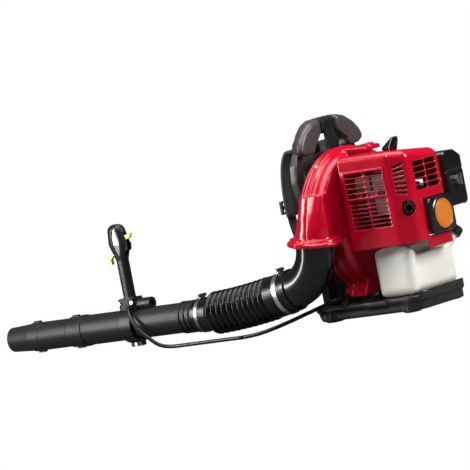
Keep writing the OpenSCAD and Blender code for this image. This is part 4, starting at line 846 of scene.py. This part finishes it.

# %% [markdown]
# ## Starter rope
# The rope is three strands laid round each other. Three tubes could be twisted
# together; a radius that waves with the angle and the distance together looks
# much the same and is one skin. The rope runs from the pulley to the grip.

# %% Starter rope
rope_low, rope_high = span("starter_rope")
ROPE_LAY = 0.009
STRANDS = 3
rope_y = (rope_low[1] + rope_high[1]) / 2
rope_z = (rope_low[2] + rope_high[2]) / 2
rope_r = (rope_high[2] - rope_low[2]) / 2
x = np.linspace(rope_low[0], rope_high[0], 120)
turn = np.linspace(0, 2 * np.pi, 24, endpoint=False)
lay = rope_r * (0.92 + 0.08 * np.cos(STRANDS * turn[None] - 2 * np.pi * x[:, None] / ROPE_LAY))
along = np.broadcast_to(x[:, None], lay.shape)
rope_grid = np.stack([along, rope_y + lay * np.cos(turn), rope_z + lay * np.sin(turn)], -1)
rope = piece("rope", None, rope_grid, rope_cord, ["starter_rope"])
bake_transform(rope)
print("rope", round(float(2 * rope_r * 1000), 1), "mm thick")

# %% [markdown]
# ## Floor and world
# The machine stands on white with no horizon. A bright floor and sky would give
# that too, but would fill every shadow. So both are white only to the camera: as
# light, the floor is a dark grey and the world a dim one, and dimmer in reflections.

# %% Floor and world
FLOOR_HALF = 150.0
FLOOR_Z = -0.0005
DIM = 0.16
WHITE = 1.0
DIMMER_IN_GLOSS = 0.10
floor_mesh = bpy.data.meshes.new("floor")
corners = [(x * FLOOR_HALF, y * FLOOR_HALF, FLOOR_Z) for x, y in ((-1, -1), (1, -1), (1, 1), (-1, 1))]
floor_mesh.from_pydata(corners, [], [(0, 1, 2, 3)])
floor = bpy.data.objects.new("floor", floor_mesh)
bpy.context.collection.objects.link(floor)
paper, paper_shader, _ = finish("white floor", (0.12, 0.12, 0.12), 0.9)
floor_mesh.materials.append(paper)
ray = Flow(paper.node_tree, paper.node_tree.nodes.new("ShaderNodeLightPath").outputs["Is Camera Ray"])
plain_white = ray.add("ShaderNodeEmission", None, {"Color": (1.0, 1.0, 1.0), "Strength": 1.0})
lit_floor = Flow(paper.node_tree, paper_shader.outputs[0])
shown_floor = ray.add("ShaderNodeMixShader", None, {0: ray, 1: lit_floor, 2: plain_white})
paper.node_tree.links.new(shown_floor.socket, paper.node_tree.nodes["Material Output"].inputs["Surface"])

world = bpy.data.worlds.new("studio")
scene.world = world
world.use_nodes = True
sky = world.node_tree.nodes["Background"]
paths = world.node_tree.nodes.new("ShaderNodeLightPath")
camera_ray = Flow(world.node_tree, paths.outputs["Is Camera Ray"])
glossy_ray = Flow(world.node_tree, paths.outputs["Is Glossy Ray"])
strength = DIM + camera_ray * (WHITE - DIM) - glossy_ray * DIMMER_IN_GLOSS
world.node_tree.links.new(strength.socket, sky.inputs["Strength"])
sky.inputs["Color"].default_value = (1, 1, 1, 1)

# %% [markdown]
# ## Lamps
# Glossy mouldings are drawn by what they reflect, so the lamps are large and soft.
# A sun would be simpler but leaves hard little spots. The key stands at the rear
# left, one lamp hangs overhead, and tall strips stand at the front left and the
# rear right. Seen from the rear right and a little above, faces that look straight
# up mirror the left strip and burn out.

# %% Lamps
def soft_lamp(name, place, aim, size, power):
    """Rectangular lamp that looks at a point."""
    lamp = bpy.data.objects.new(name, bpy.data.lights.new(name, "AREA"))
    bpy.context.collection.objects.link(lamp)
    lamp.data.shape = "RECTANGLE"
    lamp.data.size, lamp.data.size_y = size
    lamp.data.energy = power
    way = Vector(np.subtract(aim, place))
    turned = way.to_track_quat("-Z", "Y").to_matrix().to_4x4()
    lamp.matrix_world = Matrix.Translation(place) @ turned


soft_lamp("key", (-2.0, -1.3, 2.7), (0, 0.1, 0.2), (1.0, 1.0), 42)
soft_lamp("left strip", (-1.6, 1.7, 0.9), (-0.15, 0.1, 0.2), (0.26, 1.9), 48)
soft_lamp("right strip", (0.8, -2.3, 1.5), (0, -0.1, 0.25), (0.4, 1.6), 78)
soft_lamp("overhead", (-0.2, 0.1, 2.4), (0, 0.1, 0.2), (2.6, 2.2), 84)

# %% [markdown]
# ## Picture settings

# %% Picture settings
scene.view_settings.view_transform = "Standard"
